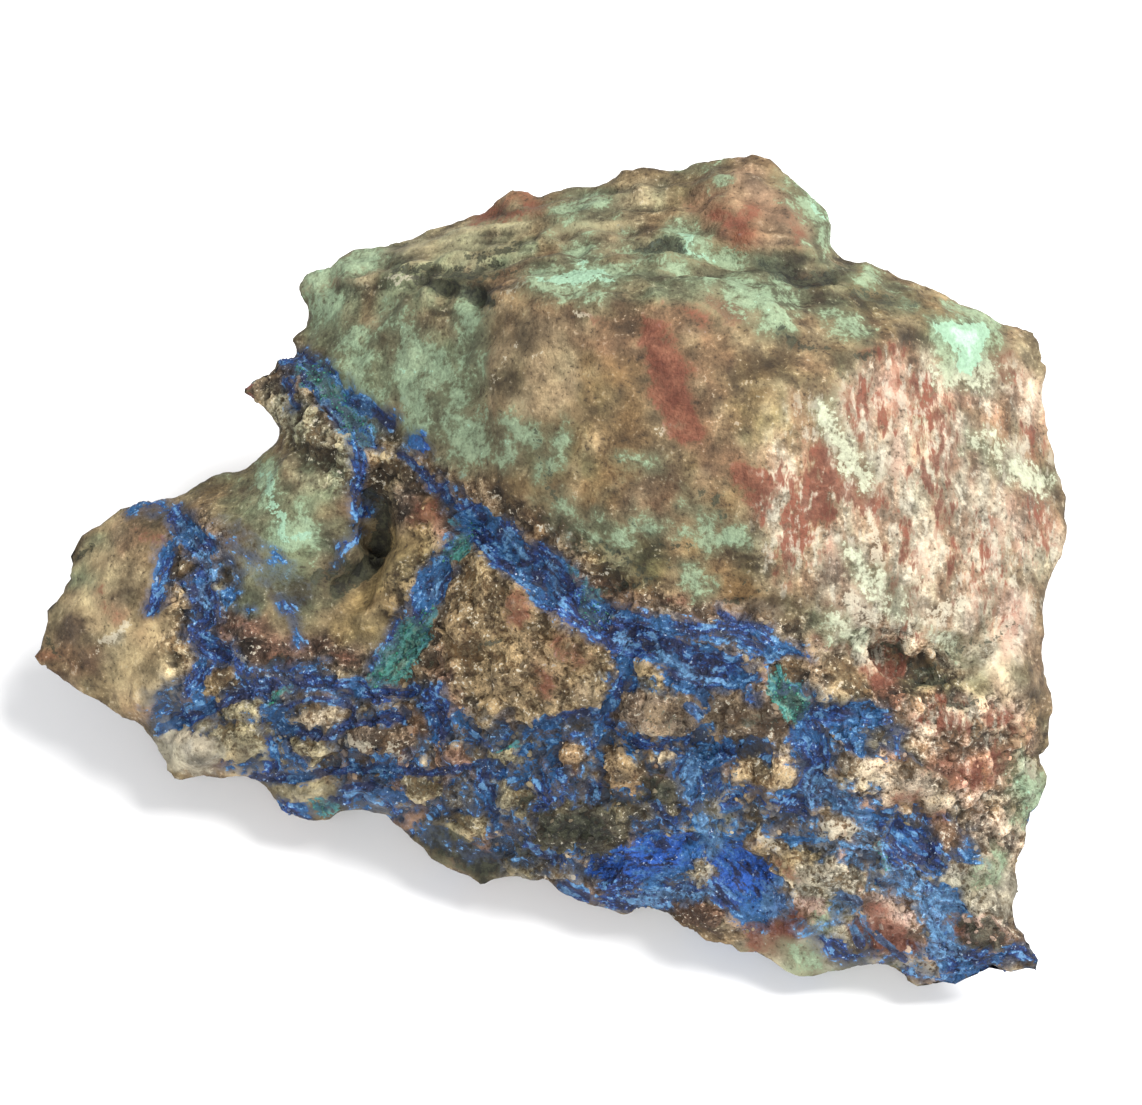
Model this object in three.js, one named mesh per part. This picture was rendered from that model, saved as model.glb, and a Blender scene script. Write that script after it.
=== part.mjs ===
import * as THREE from "three";
import { ConvexHull } from "three/addons/math/ConvexHull.js";
import { ImprovedNoise } from "three/addons/math/ImprovedNoise.js";

// A hand specimen of copper ore: one broken lump of rock with veins of azurite and malachite.
// Millimetres, +Z up. It rests on a flat broken facet at z = 0.
//
// The stone is set out square to its veined face, in a face frame that leans back:
// u runs to the right, v up the face and w straight out of it. Lines along w meet at a point
// SIGHT out in front, so the frame narrows a little towards that point.
const FACE_TILT = THREE.MathUtils.degToRad(52); // from w lying level to w as it is
const SIGHT = 420;
const LIFT = 20; // height of the frame's origin over the resting facet

const RIM_STEP = 1.3; // length of a side of the rim
const RIM_WANDER = 0.22; // how far the rim strays from the straight between its points
const ROUGH_STEP = 1.0; // least gap between points on the broken face
const SMOOTH_STEP = 1.27; // the same on the worn faces above it
const BACK_STEP = 2.9; // the same on the back and the underside
const EDGE_ROUND = 0.8; // how far each side swells right behind the rim
const EDGE_WIDTH = 2.2; // over this far in from it
const SHOULDER_IN = 1.8; // behind the rim the back starts this far in
const SHOULDER_DEEP = 3.2; // and this far down
const SHOULDER_CLEAR = 4.5; // none of them nearer than this to a set point
const BREAK_SHARE = 0.85; // how much of what lies beyond a break is gone
const LEDGE_RUN = 4.2; // from one ledge of the top to the next
const LEDGE_RISE = 1.1;
const SCATTER_TRIES = 90000; // points offered to each side
const FLAT_SNAP = 0.35; // anything lower than this belongs to the resting facet

// The rim: the line round the stone where its face turns under, [u, v] with w where it is set.
const RIM = [
  [-54, -10.4, -4.7], [-52.9, -8.5], [-52.4, -5.8], [-50.6, -3.3], [-49.4, 1], [-48.3, 2.3],
  [-46.4, 3.6], [-45.1, 4.5, -5.8], [-41.9, 5.3], [-38.7, 6.1], [-37.2, 7.2], [-35.6, 7.9],
  [-32.7, 8.4], [-30.9, 10], [-29.8, 10.8, -2.4], [-29.4, 12.2], [-30.1, 13.6], [-30.9, 14.6],
  [-32.3, 15.5], [-32.8, 16.4, -3.4], [-31.6, 17.4], [-30.2, 18.1], [-29.5, 19.5, -4.6],
  [-27.8, 19.7], [-27.5, 20.2], [-28.1, 21.3], [-27.6, 22.1], [-26.7, 22.7], [-26.5, 24.2],
  [-27.4, 25.9], [-26.9, 27.3, -8.2], [-25.8, 28.1], [-23.9, 28.6], [-22.8, 29.9], [-19.7, 30.7],
  [-17.2, 31.2, -7.9], [-14.7, 32.2], [-11.8, 33.2], [-8.7, 34.2], [-7.5, 35.4],
  [-5.5, 36.4, -5.5], [-3, 35.7], [-0.7, 36.4], [3.2, 37], [5.1, 38.2], [7.1, 38.7, -1.9],
  [10, 38.4], [12.4, 38.9], [16.2, 39.8], [18.2, 40, -0.6], [20, 39.4], [21.3, 38.1], [23.1, 36.6],
  [25.4, 34.3, 3.4], [26.2, 32.8], [26, 31], [27.2, 29.7], [28.2, 29.1, 5], [29.5, 29.2],
  [31.8, 28.2], [34.8, 27.2], [38.4, 25.4, 3.5], [43, 23.1], [45.8, 22.2, 0.4], [47, 21],
  [47.5, 18.7], [47.1, 15.7, 1.4], [47.6, 12.9], [48.9, 7.5], [49.7, 5.2], [49.7, 2.7, 5.4],
  [49.2, -0.2], [48, -2.9], [47.3, -5.8, 10.6], [47.5, -8.2], [47.2, -10], [48.2, -15, 10.8],
  [47.9, -17], [48, -19.2], [47.2, -20.4], [47.8, -22.3, 9.9], [47.4, -24.2], [46.2, -26.4],
  [45.2, -29.8], [44.6, -32], [44.3, -35.4, 13.2], [45.5, -38.1], [47.1, -40.7, 14.5],
  [46.5, -41.7], [44.8, -41.9], [41.9, -41.9], [38.5, -43.4, 12], [34.6, -43.4], [31.9, -41.5],
  [29.7, -41.2], [27.3, -41.9], [24.2, -42.5], [21.4, -41.9, 11], [18.4, -40.2], [16.8, -40],
  [15, -39.2], [12.2, -38.1], [9.7, -36.3], [8.1, -35.7, 7.8], [4.7, -36.2], [2.4, -35.5],
  [0.8, -34.9], [-1.3, -34], [-2.9, -32.9], [-4.5, -32.6], [-6.8, -32.6], [-9.1, -33.4, 5.7],
  [-10.3, -32.5], [-12, -31.8], [-14, -30.7], [-16.6, -28.1], [-18.7, -26.4], [-22, -25.8],
  [-23.3, -26.2], [-24.1, -26.8], [-26.3, -26.9, 1.9], [-27.8, -26.4], [-29.1, -25.8],
  [-30.6, -23.6], [-32, -22.7], [-35, -22.8], [-39.7, -22.7, -0.3], [-40.6, -20.7], [-41.6, -18.8],
  [-43.2, -17.2], [-46.4, -15.6, -2.4], [-49.1, -14], [-52.3, -11.9],
];
// Points of the worn top, behind the ridge: [u, v, w].
const PLATEAU = [
  [-22.6, 28.4, -5.5], [-17.1, 29, -1], [-11.6, 30.6, 0.5], [-7.1, 31.4, 2.5], [-5.1, 33.7, -1.5],
  [-2.6, 32.7, 3], [1.9, 33.7, 2.5], [4.9, 31.2, 7.5], [-1.1, 29.7, 8.5], [-6.6, 28.4, 7.5],
  [6.9, 34.7, 2.2], [9.4, 31.7, 7], [7.9, 29, 11.5], [12.9, 28.4, 12.5], [16.9, 27.2, 14],
  [2.9, 28.2, 12],
];
// The lump on the top at the back, and the band in front of it.
const BACK_LUMP = [
  [11.9, 36.2, 1.5], [14.4, 37.2, 2.5], [17.9, 37.7, 3.2], [21.4, 35.7, 4.8], [12.9, 33.7, 6.5],
  [16.9, 34.2, 8.2], [20.9, 32.7, 8], [24.4, 31.4, 6.5], [11.9, 31.2, 8], [14.4, 29.4, 9],
  [18.9, 29, 10.3], [22.9, 29, 9], [25.9, 29, 7.6], [22.9, 26.2, 13.2], [23.9, 21.7, 17.6],
  [26.9, 26.2, 11.2], [28.9, 23.2, 14.2], [29.9, 26.2, 9.4], [34.9, 24.7, 8], [38.9, 23.4, 6],
  [42.9, 21.7, 3.5],
];
// The ridge between the top and the faces in front.
const RIDGE = [
  [-18.8, 26.8, -0.8], [-15.6, 26.8, 3], [-13.8, 27.4, 4.6], [-10.9, 26.2, 8], [-7.9, 25.3, 12.2],
  [-4.5, 26.9, 14.4], [-1.1, 26.2, 16.6], [2.9, 26, 17.6], [6.9, 26, 18], [12.9, 26.7, 17.4],
  [18.4, 24.2, 18.6], [20.9, 16.7, 22], [24.9, 18.2, 20.4], [28.9, 20, 17.4], [32.9, 21.4, 13.8],
  [36.2, 22.6, 10], [39.4, 23, 6.8], [43.4, 21.4, 3.6],
];
// The hollow face on the left under the ridge.
const GREEN_FACE = [
  [-24.1, 25.2, -4.5], [-25.1, 21.7, -3.8], [-20.1, 23.2, 0.2], [-21.1, 18.2, 2.6],
  [-17.1, 20.2, 4.8], [-13.1, 23.2, 7.5], [-11.6, 18.7, 9.2], [-14.1, 15.2, 8.6],
  [-17.1, 16.2, 5.8], [-13.1, 10.7, 9.8], [-9.5, 20.7, 11], [-8.7, 14.7, 12.6], [-8.6, 9.7, 12.9],
  [-10.1, 16.7, 10.2], [-7.1, 10.7, 14.4], [-7.1, 7.2, 14],
];
// The smooth swelling in the middle.
const BUMP = [
  [-8.1, 19.6, 14.8], [-7.3, 14.3, 15.6], [-5.9, 12.6, 16.6], [-2, 12.8, 18.4], [-4.1, 22.2, 17],
  [-1.1, 23.2, 18.2], [-3.1, 17.2, 17.8], [2.9, 21.2, 20.2], [7.9, 21.2, 20.8], [2.9, 15.2, 20.6],
  [-1.1, 10.2, 18.8], [4.9, 8.2, 21.2], [10.9, 15.2, 22], [14.9, 20.2, 21], [12.9, 9.2, 22],
  [11.9, 2.2, 20.6], [16.4, -1.8, 21], [7.9, 5.2, 20.8], [2.9, 3.2, 19.2], [-1.1, 4.2, 17],
  [-3.1, 7.7, 16.8], [6.9, -1.3, 19], [12.9, -2.3, 20.2], [14.4, 14.2, 22.4], [17.4, 19.2, 21.2],
];
// The soft ridge between the swelling and the face on the right.
const SOFT_RIDGE = [
  [16.6, 10.6, 23.2], [19.2, 5.7, 23.4], [20.1, 0.7, 23], [20.7, -3.8, 22],
];
const RIGHT_FACE = [
  [28.9, 15.2, 17.6], [33.4, 18.2, 13.4], [27.9, 10.2, 19.6], [32.9, 12.2, 15.8], [37.9, 18.2, 9],
  [37.9, 12.2, 11.8], [42.9, 17.2, 5.2], [42.9, 11.2, 7.8], [45.9, 13.2, 3.8], [24.9, 4.7, 21.8],
  [30.9, 5.2, 19], [36.9, 5.2, 15.4], [42.9, 5.2, 10.8], [46.9, 6.2, 6.6], [25.9, -1.8, 21.4],
  [31.9, -1.8, 19.2], [37.9, -0.8, 16.4], [42.9, -0.8, 13.2], [47.4, 0.7, 7.8], [25.9, -6.8, 20.2],
  [32.9, -6.8, 18.4], [38.9, -5.8, 16], [43.9, -4.8, 13.2],
];
// The crease where the worn faces end and the broken face starts.
const CREASE = [
  [-27.1, 19, -2], [-23.1, 15.7, 1.6], [-19.1, 12, 4.8], [-14.6, 8.2, 8.2], [-10.1, 4.7, 10.9],
  [-5.6, 0.7, 13.4], [-1.1, -3, 15.6], [2.9, -4, 16.2], [8.4, -4, 18], [14.9, -5, 18.9],
  [20.9, -5.6, 19.6], [6.9, -6.2, 18.8], [12.9, -6.8, 20.3], [18.9, -7.2, 20.9], [23.4, -9, 20.2],
  [27.7, -10.8, 18.6], [31.3, -10.3, 16.4], [35.2, -11.8, 16], [40.3, -9.4, 15], [43.7, -7.9, 13],
];
const LOWER_FACE = [
  [6.9, -9.8, 18.2], [12.9, -11.3, 19.2], [18.9, -11.8, 19.6], [24.9, -13.8, 19.6],
  [29.9, -14.8, 19.4], [35.9, -15.3, 18], [41.4, -13.8, 16.2], [45.4, -12.8, 13.6],
  [1.9, -13.8, 15.8], [7.9, -15.8, 17], [14.9, -16.8, 17.8], [21.9, -18.8, 18.4],
  [27.9, -20.8, 18.4], [33.9, -20.8, 17.8], [39.9, -20.8, 16.4], [44.4, -19.8, 13.6],
  [-1.1, -19.8, 13.4], [5.9, -21.8, 14.6], [12.9, -23.8, 15], [19.9, -24.8, 16.2],
  [26.9, -26.8, 16.8], [32.9, -27.8, 16.6], [38.9, -27.8, 15.8], [42.9, -27.8, 13.8],
  [-3.1, -25.8, 11.2], [3.9, -27.8, 11.8], [11.9, -29.8, 12.8], [18.9, -31.8, 13.8],
  [25.9, -33.8, 14.6], [32.9, -34.8, 15], [38.9, -34.8, 15.2], [42.9, -35.8, 14],
  [-1.1, -30.8, 9.4], [6.9, -33.8, 9.8], [14.9, -36.8, 11.4], [22.9, -38.8, 12.6],
  [30.9, -39.8, 13.4], [37.9, -40.3, 13.8], [43.4, -39.8, 14.6],
];
// The three-cornered clast and the valley beside it.
const CLAST = [
  [-9.5, 0, 11.8], [-5.1, -3.6, 14.4], [-0.6, -7, 16.4], [3.5, -9.6, 17.6], [4.1, -13.8, 16.6],
  [-1.1, -14.6, 14.9], [-7.1, -14.3, 12.9], [-13.5, -14, 10.6], [-11.6, -7.8, 11.7],
  [-6.1, -9.8, 14.2],
];
const VALLEY = [
  [-11.3, 0.4, 9.4], [-13.3, -3.3, 8.2], [-15.1, -7.3, 7.2], [-17.8, -11.6, 6.6],
  [-13.1, -7.8, 9.8], [-17.6, 5.2, 5.6], [-17.1, 1.2, 6], [-18.6, -3.8, 6.2], [-22.1, -6.8, 5],
  [-26.1, -8.8, 3.8], [-14.1, 1.2, 8],
];
const POCKET = [
  [-20, 5.2, 2], [-19.2, 2.2, -0.6], [-19.7, -0.8, -0.2], [-21.5, -3.4, 1.8],
];
const LOBE = [
  [-21.9, 7.2, 4.8], [-21.6, 3.2, 5.4], [-22.1, -0.3, 5.2], [-24.6, -3.3, 4.6], [-24.1, 5.2, 5.6],
  [-27.1, 1.2, 5.4], [-30.1, 6.2, 2.4], [-28.6, 9.2, 1.4], [-33.1, 2.2, 3.8], [-29.1, -3.8, 4.6],
  [-34.1, -3.8, 4], [-37.1, 5.2, -0.6], [-38.1, 0.2, 2.4], [-41.1, 3.2, -1.6], [-42.1, -0.8, 0.4],
  [-42.1, -5.8, 1.6], [-37.1, -8.8, 3.4], [-32.1, -8.8, 4.2], [-45.9, -0.3, -2], [-46.6, -4.3, -1],
  [-49.9, -6.3, -3], [-51.3, -9.8, -3.4], [-44, -6.6, 1.2], [-48.1, -10.1, -0.4],
  [-44.5, -9.8, -0.7], [-45.9, -11.4, -1.5], [-41.1, -8.8, 2.2], [-42.1, -13.8, 1.4],
  [-38.1, -13.8, 2.8], [-49.1, -12.3, -2.8],
];
const SHOULDER = [
  [-30.1, 16.7, -2.6], [-27.1, 16.7, -0.6], [-26.1, 13.2, 1.2], [-23.1, 11.2, 3.4],
  [-27.1, 10.2, 0.8], [-23.1, 8.2, 4], [-19.1, 8.2, 5.6],
];
const LOWER_LEFT = [
  [-35.1, -14.8, 2.8], [-29.1, -13.8, 4.6], [-23.1, -12.8, 6.2], [-17.1, -14.8, 8.6],
  [-37.1, -18.8, 1.4], [-31.1, -19.8, 2.6], [-25.1, -18.8, 4.8], [-19.1, -19.8, 6.8],
  [-13.1, -18.8, 9], [-7.1, -18.8, 11.2], [-27.1, -23.8, 2.8], [-20.1, -23.8, 4.8],
  [-13.1, -24.8, 6.8], [-7.1, -24.8, 9], [-10.1, -29.8, 6.6], [-5.1, -29.8, 8.2],
];
// Points of the hidden sides in the stone's own frame, [x, y, z]. Those below z = 0 are cut
// off flat, which makes the resting facet.
const BACK = [
  [-46, 2, 9], [-42, 6, 10], [-38, 9, 12], [-41, -4, 4], [-34, 2, 1.5], [-36, -12, 3],
  [-29.5, -13, 1.2], [-30, 21, 18], [-28, 25, 10], [-26, 27, 21], [-24, 23, 3], [-33, 15, 8],
  [-34, 9, 3], [-16, 31, 25], [-18, 31, 12], [-14, 30, 4], [-6, 34, 29], [-8, 34, 17], [-5, 32, 6],
  [6, 35, 34], [6, 37, 22], [8, 33, 9], [17, 35, 35], [19, 35, 24], [17, 31, 10], [25, 27, 35],
  [29, 29, 22], [27, 27, 8], [38, 20, 29], [39, 22, 16], [35, 21, 5], [45, 16, 24], [44, 15, 13],
  [41, 11, 3], [46.5, 8, 20], [46, 4, 9], [47, -3, 17], [46, -6, 7], [43, -4, 2], [45.5, -14, 12],
  [44.5, -22, 7], [42.5, -29, 3.5], [43.5, -37, 3.4], [38, -36, 1.2], [30, -35, 0.9],
  [15, -32, 0.8], [5, -28, 1], [-5, -24, 1.5], [-15, -21, 1.3], [-24, -17, 1.2], [36, -27, -1.5],
  [22, -27, -1.8], [8, -23, -1.5], [-6, -18, -1.5], [-20, -13, -1.5], [-28, -5, -1.2],
  [-27, 6, -1.5], [-20, 18, -1.5], [-8, 25, -1.5], [6, 26, -1.8], [20, 24, -1.5], [31, 18, -1.5],
  [38, 6, -1.5], [40, -8, -1.5], [39, -20, -1.5], [5, 0, -4], [20, 0, -4], [-10, 5, -4],
  [25, -15, -4], [15, 12, -4],
];
// Where the broken face ends, left to right in [u, v].
const BROKEN_EDGE = [
  [-55.1, -8.8], [-42.1, -0.8], [-27.1, -4.8], [-24.1, 7.2], [-22.6, 14.7], [-19.1, 12],
  [-10.1, 4.7], [-1.1, -3], [6.9, -6], [18.9, -7.3], [27.7, -10.4], [31.3, -10], [40.3, -9.2],
  [48.9, -4.8],
];

// Fissures between clasts: half width, depth, then the path in [u, v].
const GROOVES = [
  [1.8, 0.9, [[-11.9, 4.7], [-9.1, 2.2], [-5.6, -0.4], [-2.6, -2.3], [0.1, -5.4], [2.9, -7.6],
    [6.9, -9], [11.9, -11.6], [17.4, -12], [22.4, -11]]],
  [1.6, 0.8, [[-10.7, 1], [-13.3, -1.3], [-14.7, -4.8], [-16.3, -8.3], [-18.3, -11.6]]],
  [1.3, 0.8, [[-39.1, -16.9], [-34.8, -15.3], [-30.1, -13.4], [-26.1, -12.4], [-22.1, -13.6],
    [-16.3, -13.4], [-13.9, -15.3], [-12.9, -18.6]]],
  [1.1, 0.7, [[-40.1, 4.4], [-38.3, 1.8], [-36.8, -0.6], [-37.1, -4.8], [-37.1, -7.8],
    [-34.9, -10.3]]],
  [1, 0.6, [[-40.4, 0.2], [-40.8, -2.3], [-42.1, -5.6]]],
  [1.2, 0.8, [[5.6, -10.2], [5.1, -13.3], [3.7, -16.3], [2.5, -20.3], [2.4, -23.8]]],
  [1, 0.7, [[3.6, -16], [-1.1, -17], [-5.1, -20.6], [-8.1, -23]]],
  [1, 0.6, [[-13.4, -16], [-10.1, -18], [-8.5, -20.8], [-8.1, -24.8], [-7.9, -27.3]]],
  [1.1, 0.6, [[-28.7, -22.4], [-23.9, -21.8], [-19.1, -21.6], [-13.1, -22.1], [-8.7, -21.4]]],
  [1, 0.6, [[-30.4, -17.9], [-30.1, -21.3], [-27.1, -24.8], [-25.1, -25.6]]],
  [1, 0.6, [[-26.1, -18.2], [-22.1, -17.2], [-17.4, -16.6], [-14.1, -17.2]]],
  [1.3, 0.8, [[22.9, -16], [24.1, -19.8], [23.5, -22.6], [27.1, -25.8], [31.4, -26.6],
    [35.4, -29.8], [37.4, -34.3], [38.9, -38.3]]],
  [1.1, 0.7, [[25.1, -17], [29.9, -16.4], [32.2, -18.4]]],
  [1.1, 0.7, [[5.9, -18.2], [10.4, -19.6], [14.6, -18.8], [18.9, -20.8]]],
  [1.2, 0.7, [[11.9, -22.3], [13.2, -25.6], [14.9, -28.3], [19.4, -31.6]]],
  [1.1, 0.6, [[1.7, -31.4], [6.9, -29.8], [12.9, -29.3], [18.9, -32.8], [21.9, -37.3]]],
  [0.9, 0.7, [[-14.4, -11.2], [-10.2, -10.2], [-6.1, -8.8]]],
  [1, 0.8, [[27.7, -10.4], [31.3, -9.8], [35.2, -11.6], [40.3, -9.1], [43.7, -7.7]]],
  [1, 0.6, [[12.9, -14.8], [17.4, -19.3], [18.9, -23.8]]],
  [1.2, 0.6, [[-29.5, 19.2], [-26.1, 19], [-23.3, 16.2], [-19.9, 13.2], [-15.1, 10]]],
];
// Clasts that stand out: u, v, half length, half width, turn in degrees, height.
const LUMPS = [
  [8.3, -11.3, 2, 1.4, 8, 0.9], [8.8, -16.2, 4.25, 2.9, 0, 1.1], [18.6, -16.4, 4.25, 2.75, 0, 1.1],
  [18.7, -11.8, 1.4, 0.95, 15, 0.9], [19.9, -23.1, 2.6, 1.85, -15, 1.4], [5, -21.4, 1.85, 2, 0, 1],
  [9.5, -24.1, 2, 2.3, 0, 1], [0.8, -27.6, 3.7, 2.75, 15, 1.3], [-6.1, -24.8, 1.7, 1.35, 0, 0.8],
  [-10.1, -27.8, 1.35, 1.1, 0, 0.8], [-11.6, -20.6, 1.7, 1.55, 0, 1.3],
  [-6.5, -20, 1.55, 0.9, 5, 0.7], [-0.1, -20.3, 1.2, 1.5, 0, 0.8],
  [25.9, -27.4, 1.55, 1.55, 0, 1.1], [28.5, -23.5, 2.3, 2.6, -40, 1],
  [18.9, -29.2, 1.25, 1.2, 0, 0.8], [22.1, -31.1, 1.95, 1.55, 0, 0.9],
  [13.1, -31.5, 1.25, 1.4, 0, 1.1], [25.4, -31.9, 2.3, 2.15, 0, 0.9],
  [12.8, -36.4, 2.75, 1.4, 15, 0.8], [-24.9, -16.6, 2.6, 1.45, -10, 1.2],
  [-26.6, -19.8, 2.65, 1.45, 20, 1], [-19.2, -18.6, 2.5, 1.75, 5, 1.4],
  [-33, -19, 2.2, 1.9, 0, 0.9], [-38.1, -19.8, 2.45, 2, 0, 0.9], [-33, -15.3, 1.9, 1.15, 10, 0.8],
  [-35.1, -12.6, 1.75, 1.6, 0, 0.8], [-39.1, -5.4, 1.3, 1.2, 0, 0.8],
  [-32.4, -7.5, 3.7, 1.45, -8, 1], [-28.9, -10.4, 1.85, 1.55, 0, 0.9],
  [-23.3, -9.8, 2.5, 1.5, 10, 0.9], [-26.5, -24, 3.1, 1, 8, 0.9],
  [-14.9, -23.8, 1.75, 1.05, 0, 0.8], [-15.7, -20.6, 1.05, 0.85, 0, 0.6],
  [31.6, -31.3, 1.75, 2, 0, 0.9], [30.1, -35, 2.25, 2.25, 0, 1], [33.4, -37.5, 2.5, 2.25, -20, 1],
  [41.6, -36.8, 2.25, 2.5, -30, 1], [41.1, -30.8, 1.75, 2, 0, 0.8],
  [36.1, -22.6, 2.75, 2.25, 0, 0.9], [46, -23.9, 1.3, 2.35, 8, 1.3],
  [32.6, -14.4, 2.75, 1.6, 0, 0.8], [39.4, -16.3, 3.5, 2, 0, 0.8],
  [-25.4, 14.7, 1.75, 1.7, -40, 0.8], [-22.5, 10.4, 1.6, 1.8, -40, 0.7],
  [-16.9, 10.5, 1.75, 1.5, -35, 0.8], [-26.1, 11.2, 1.5, 1.5, -60, 0.6],
  [9.1, 24.9, 2.2, 1.25, 0, 0.5], [2.9, 17.2, 4, 3, 0, 0.6], [11.4, 7.5, 3.5, 2.25, 0, 0.5],
  [-5.5, 36, 0.85, 0.9, 0, 0.9], [-4.8, -5.5, 1.75, 1.75, -30, 0.6],
  [-0.3, -9.8, 2.25, 1.8, -30, 0.7], [-6.6, -12.2, 3.5, 1.15, 5, 0.6],
];
// Pits: u, v, radius, depth.
const PITS = [
  [-13.4, 26.5, 1.4, 1.2], [-9.8, 25.6, 1.7, 1.4], [1.2, -28, 1.6, 1], [-6.6, -29.9, 1.5, 0.9],
  [31.5, -9.6, 1.5, 1.3], [22.9, 27, 1.6, 0.9], [-19.9, 1, 1.5, 1.4], [8.1, -20.8, 1.2, 0.8],
  [-5.1, -22.3, 1.3, 0.8], [12.9, -19, 1.1, 0.8], [-1.1, -2.6, 1.3, 0.7], [4.9, -3.6, 2, 0.7],
  [16.4, -5.4, 2, 0.7], [-11.6, -23.8, 1.2, 0.8], [21.9, -24.8, 1.2, 0.9], [10.9, -26.8, 1.2, 0.8],
  [35.9, -26.3, 1.1, 0.8], [-20.6, -16.3, 1.1, 0.8], [-29.6, -11.3, 1.5, 1], [6.9, 0.4, 1.6, 0.5],
];
// Breaks that took flat slices off the back: the way each faces, then how far out it lies.
const BREAKS = [
  [0.1, 0.95, 0.3, 42.6], [0.15, 0.85, -0.5, 20.6], [-0.75, 0.6, -0.25, 29.4], [0.86, 0.46, -0.2, 39.6],
  [0.9, -0.2, -0.38, 35.6], [0.62, 0.64, -0.45, 30.4], [-0.35, 0.9, 0.25, 40.6],
];
const STONE = [0.56, 0.48, 0.38]; // red, green, blue of the rock

// A repeatable stream of numbers from 0 to 1.
function stream(seed) {
  let state = seed;
  return () => {
    state = (Math.imul(state, 1664525) + 1013904223) >>> 0;
    return state / 4294967296;
  };
}

const smooth = (a, b, x) => THREE.MathUtils.smoothstep(x, a, b);

function toStone(u, v, w) {
  const k = 1 - w / SIGHT;
  const s = Math.sin(FACE_TILT);
  const c = Math.cos(FACE_TILT);
  return new THREE.Vector3(u * k, s * v * k - c * w, LIFT + c * v * k + s * w);
}

function toFace(x, y, z) {
  const s = Math.sin(FACE_TILT);
  const c = Math.cos(FACE_TILT);
  const w = s * (z - LIFT) - c * y;
  const k = 1 - w / SIGHT;
  return [x / k, (s * y + c * (z - LIFT)) / k, w];
}

// The rim's corners with a depth each: the set depths, carried evenly along the rim between.
function rimCorners() {
  const n = RIM.length;
  const side = (i) => Math.hypot(RIM[(i + 1) % n][0] - RIM[i][0], RIM[(i + 1) % n][1] - RIM[i][1]);
  const set = RIM.map((p, i) => i).filter((i) => RIM[i].length > 2);
  const corners = RIM.map((p) => [...p]);
  set.forEach((from, k) => {
    const to = set[(k + 1) % set.length];
    const run = [];
    for (let i = from; i !== to; i = (i + 1) % n) run.push(i);
    const whole = run.reduce((sum, i) => sum + side(i), 0);
    let gone = 0;
    for (const i of run) {
      corners[i][2] = THREE.MathUtils.lerp(RIM[from][2], RIM[to][2], gone / whole);
      gone += side(i);
    }
  });
  return corners;
}

// The rim broken into short sides that stray a little from the straight.
function rimLoop(corners) {
  const noise = new ImprovedNoise();
  const loop = [];
  corners.forEach((a, i) => {
    const b = corners[(i + 1) % corners.length];
    const long = Math.hypot(b[0] - a[0], b[1] - a[1]);
    const parts = Math.max(1, Math.round(long / RIM_STEP));
    for (let j = 0; j < parts; j++) {
      const t = j / parts;
      const p = a.map((x, k) => THREE.MathUtils.lerp(x, b[k], t));
      const off = j ? RIM_WANDER * 2 * noise.noise(p[0] * 0.9, p[1] * 0.9, 4.3) : 0;
      loop.push([p[0] - (off * (b[1] - a[1])) / long, p[1] + (off * (b[0] - a[0])) / long, p[2]]);
    }
  });
  return loop;
}

function isInside(loop, u, v) {
  let inside = false;
  for (let i = 0, j = loop.length - 1; i < loop.length; j = i++) {
    const [x1, y1] = loop[i];
    const [x2, y2] = loop[j];
    if (y1 > v !== y2 > v && u < x1 + ((v - y1) * (x2 - x1)) / (y2 - y1)) inside = !inside;
  }
  return inside;
}

// Distance from (u, v) to a line of points.
function toPath(path, u, v, closed = false) {
  let best = Infinity;
  const last = closed ? path.length : path.length - 1;
  for (let i = 0; i < last; i++) {
    const [x1, y1] = path[i];
    const [x2, y2] = path[(i + 1) % path.length];
    const [dx, dy] = [x2 - x1, y2 - y1];
    const t = THREE.MathUtils.clamp(((u - x1) * dx + (v - y1) * dy) / (dx * dx + dy * dy), 0, 1);
    best = Math.min(best, Math.hypot(u - x1 - t * dx, v - y1 - t * dy));
  }
  return best;
}

// The best triangles over scattered points, anticlockwise in (u, v): the underside of the hull
// of the points raised on to a bowl. Those outside the loop are left out.
function triangulate(points, loop) {
  const raised = points.map(([u, v]) => new THREE.Vector3(u, v, (u * u + v * v) / 50));
  const at = new Map(raised.map((p, i) => [p, i]));
  const corner = (face) => {
    const e = face.edge;
    return [e.next.head().point, e.head().point, e.prev.head().point].map((p) => at.get(p));
  };
  const faces = new ConvexHull().setFromPoints(raised).faces.filter((f) => f.normal.z < 0);
  return faces.map(corner).filter((t) => {
    const [u, v] = [0, 1].map((k) => (points[t[0]][k] + points[t[1]][k] + points[t[2]][k]) / 3);
    return isInside(loop, u, v) && Math.abs(area(points, t)) > 1e-6;
  });
}

function area(points, [a, b, c]) {
  const [p, q, r] = [points[a], points[b], points[c]];
  return ((q[0] - p[0]) * (r[1] - p[1]) - (q[1] - p[1]) * (r[0] - p[0])) / 2;
}

// The depth of a net of flat facets at (u, v).
function facets(net, loop) {
  const tris = triangulate(net, loop);
  const boxes = tris.map((t) => [0, 1].flatMap((k) => {
    const xs = t.map((i) => net[i][k]);
    return [Math.min(...xs), Math.max(...xs)];
  }));
  return (u, v) => {
    let near = [Infinity, 0];
    for (let i = 0; i < tris.length; i++) {
      const box = boxes[i];
      if (u < box[0] - 0.3 || u > box[1] + 0.3 || v < box[2] - 0.3 || v > box[3] + 0.3) continue;
      const [out, w] = onTriangle(tris[i].map((k) => net[k]), u, v);
      if (out < near[0]) near = [out, w];
      if (out <= 0) break;
    }
    return near[1];
  };
}

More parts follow.
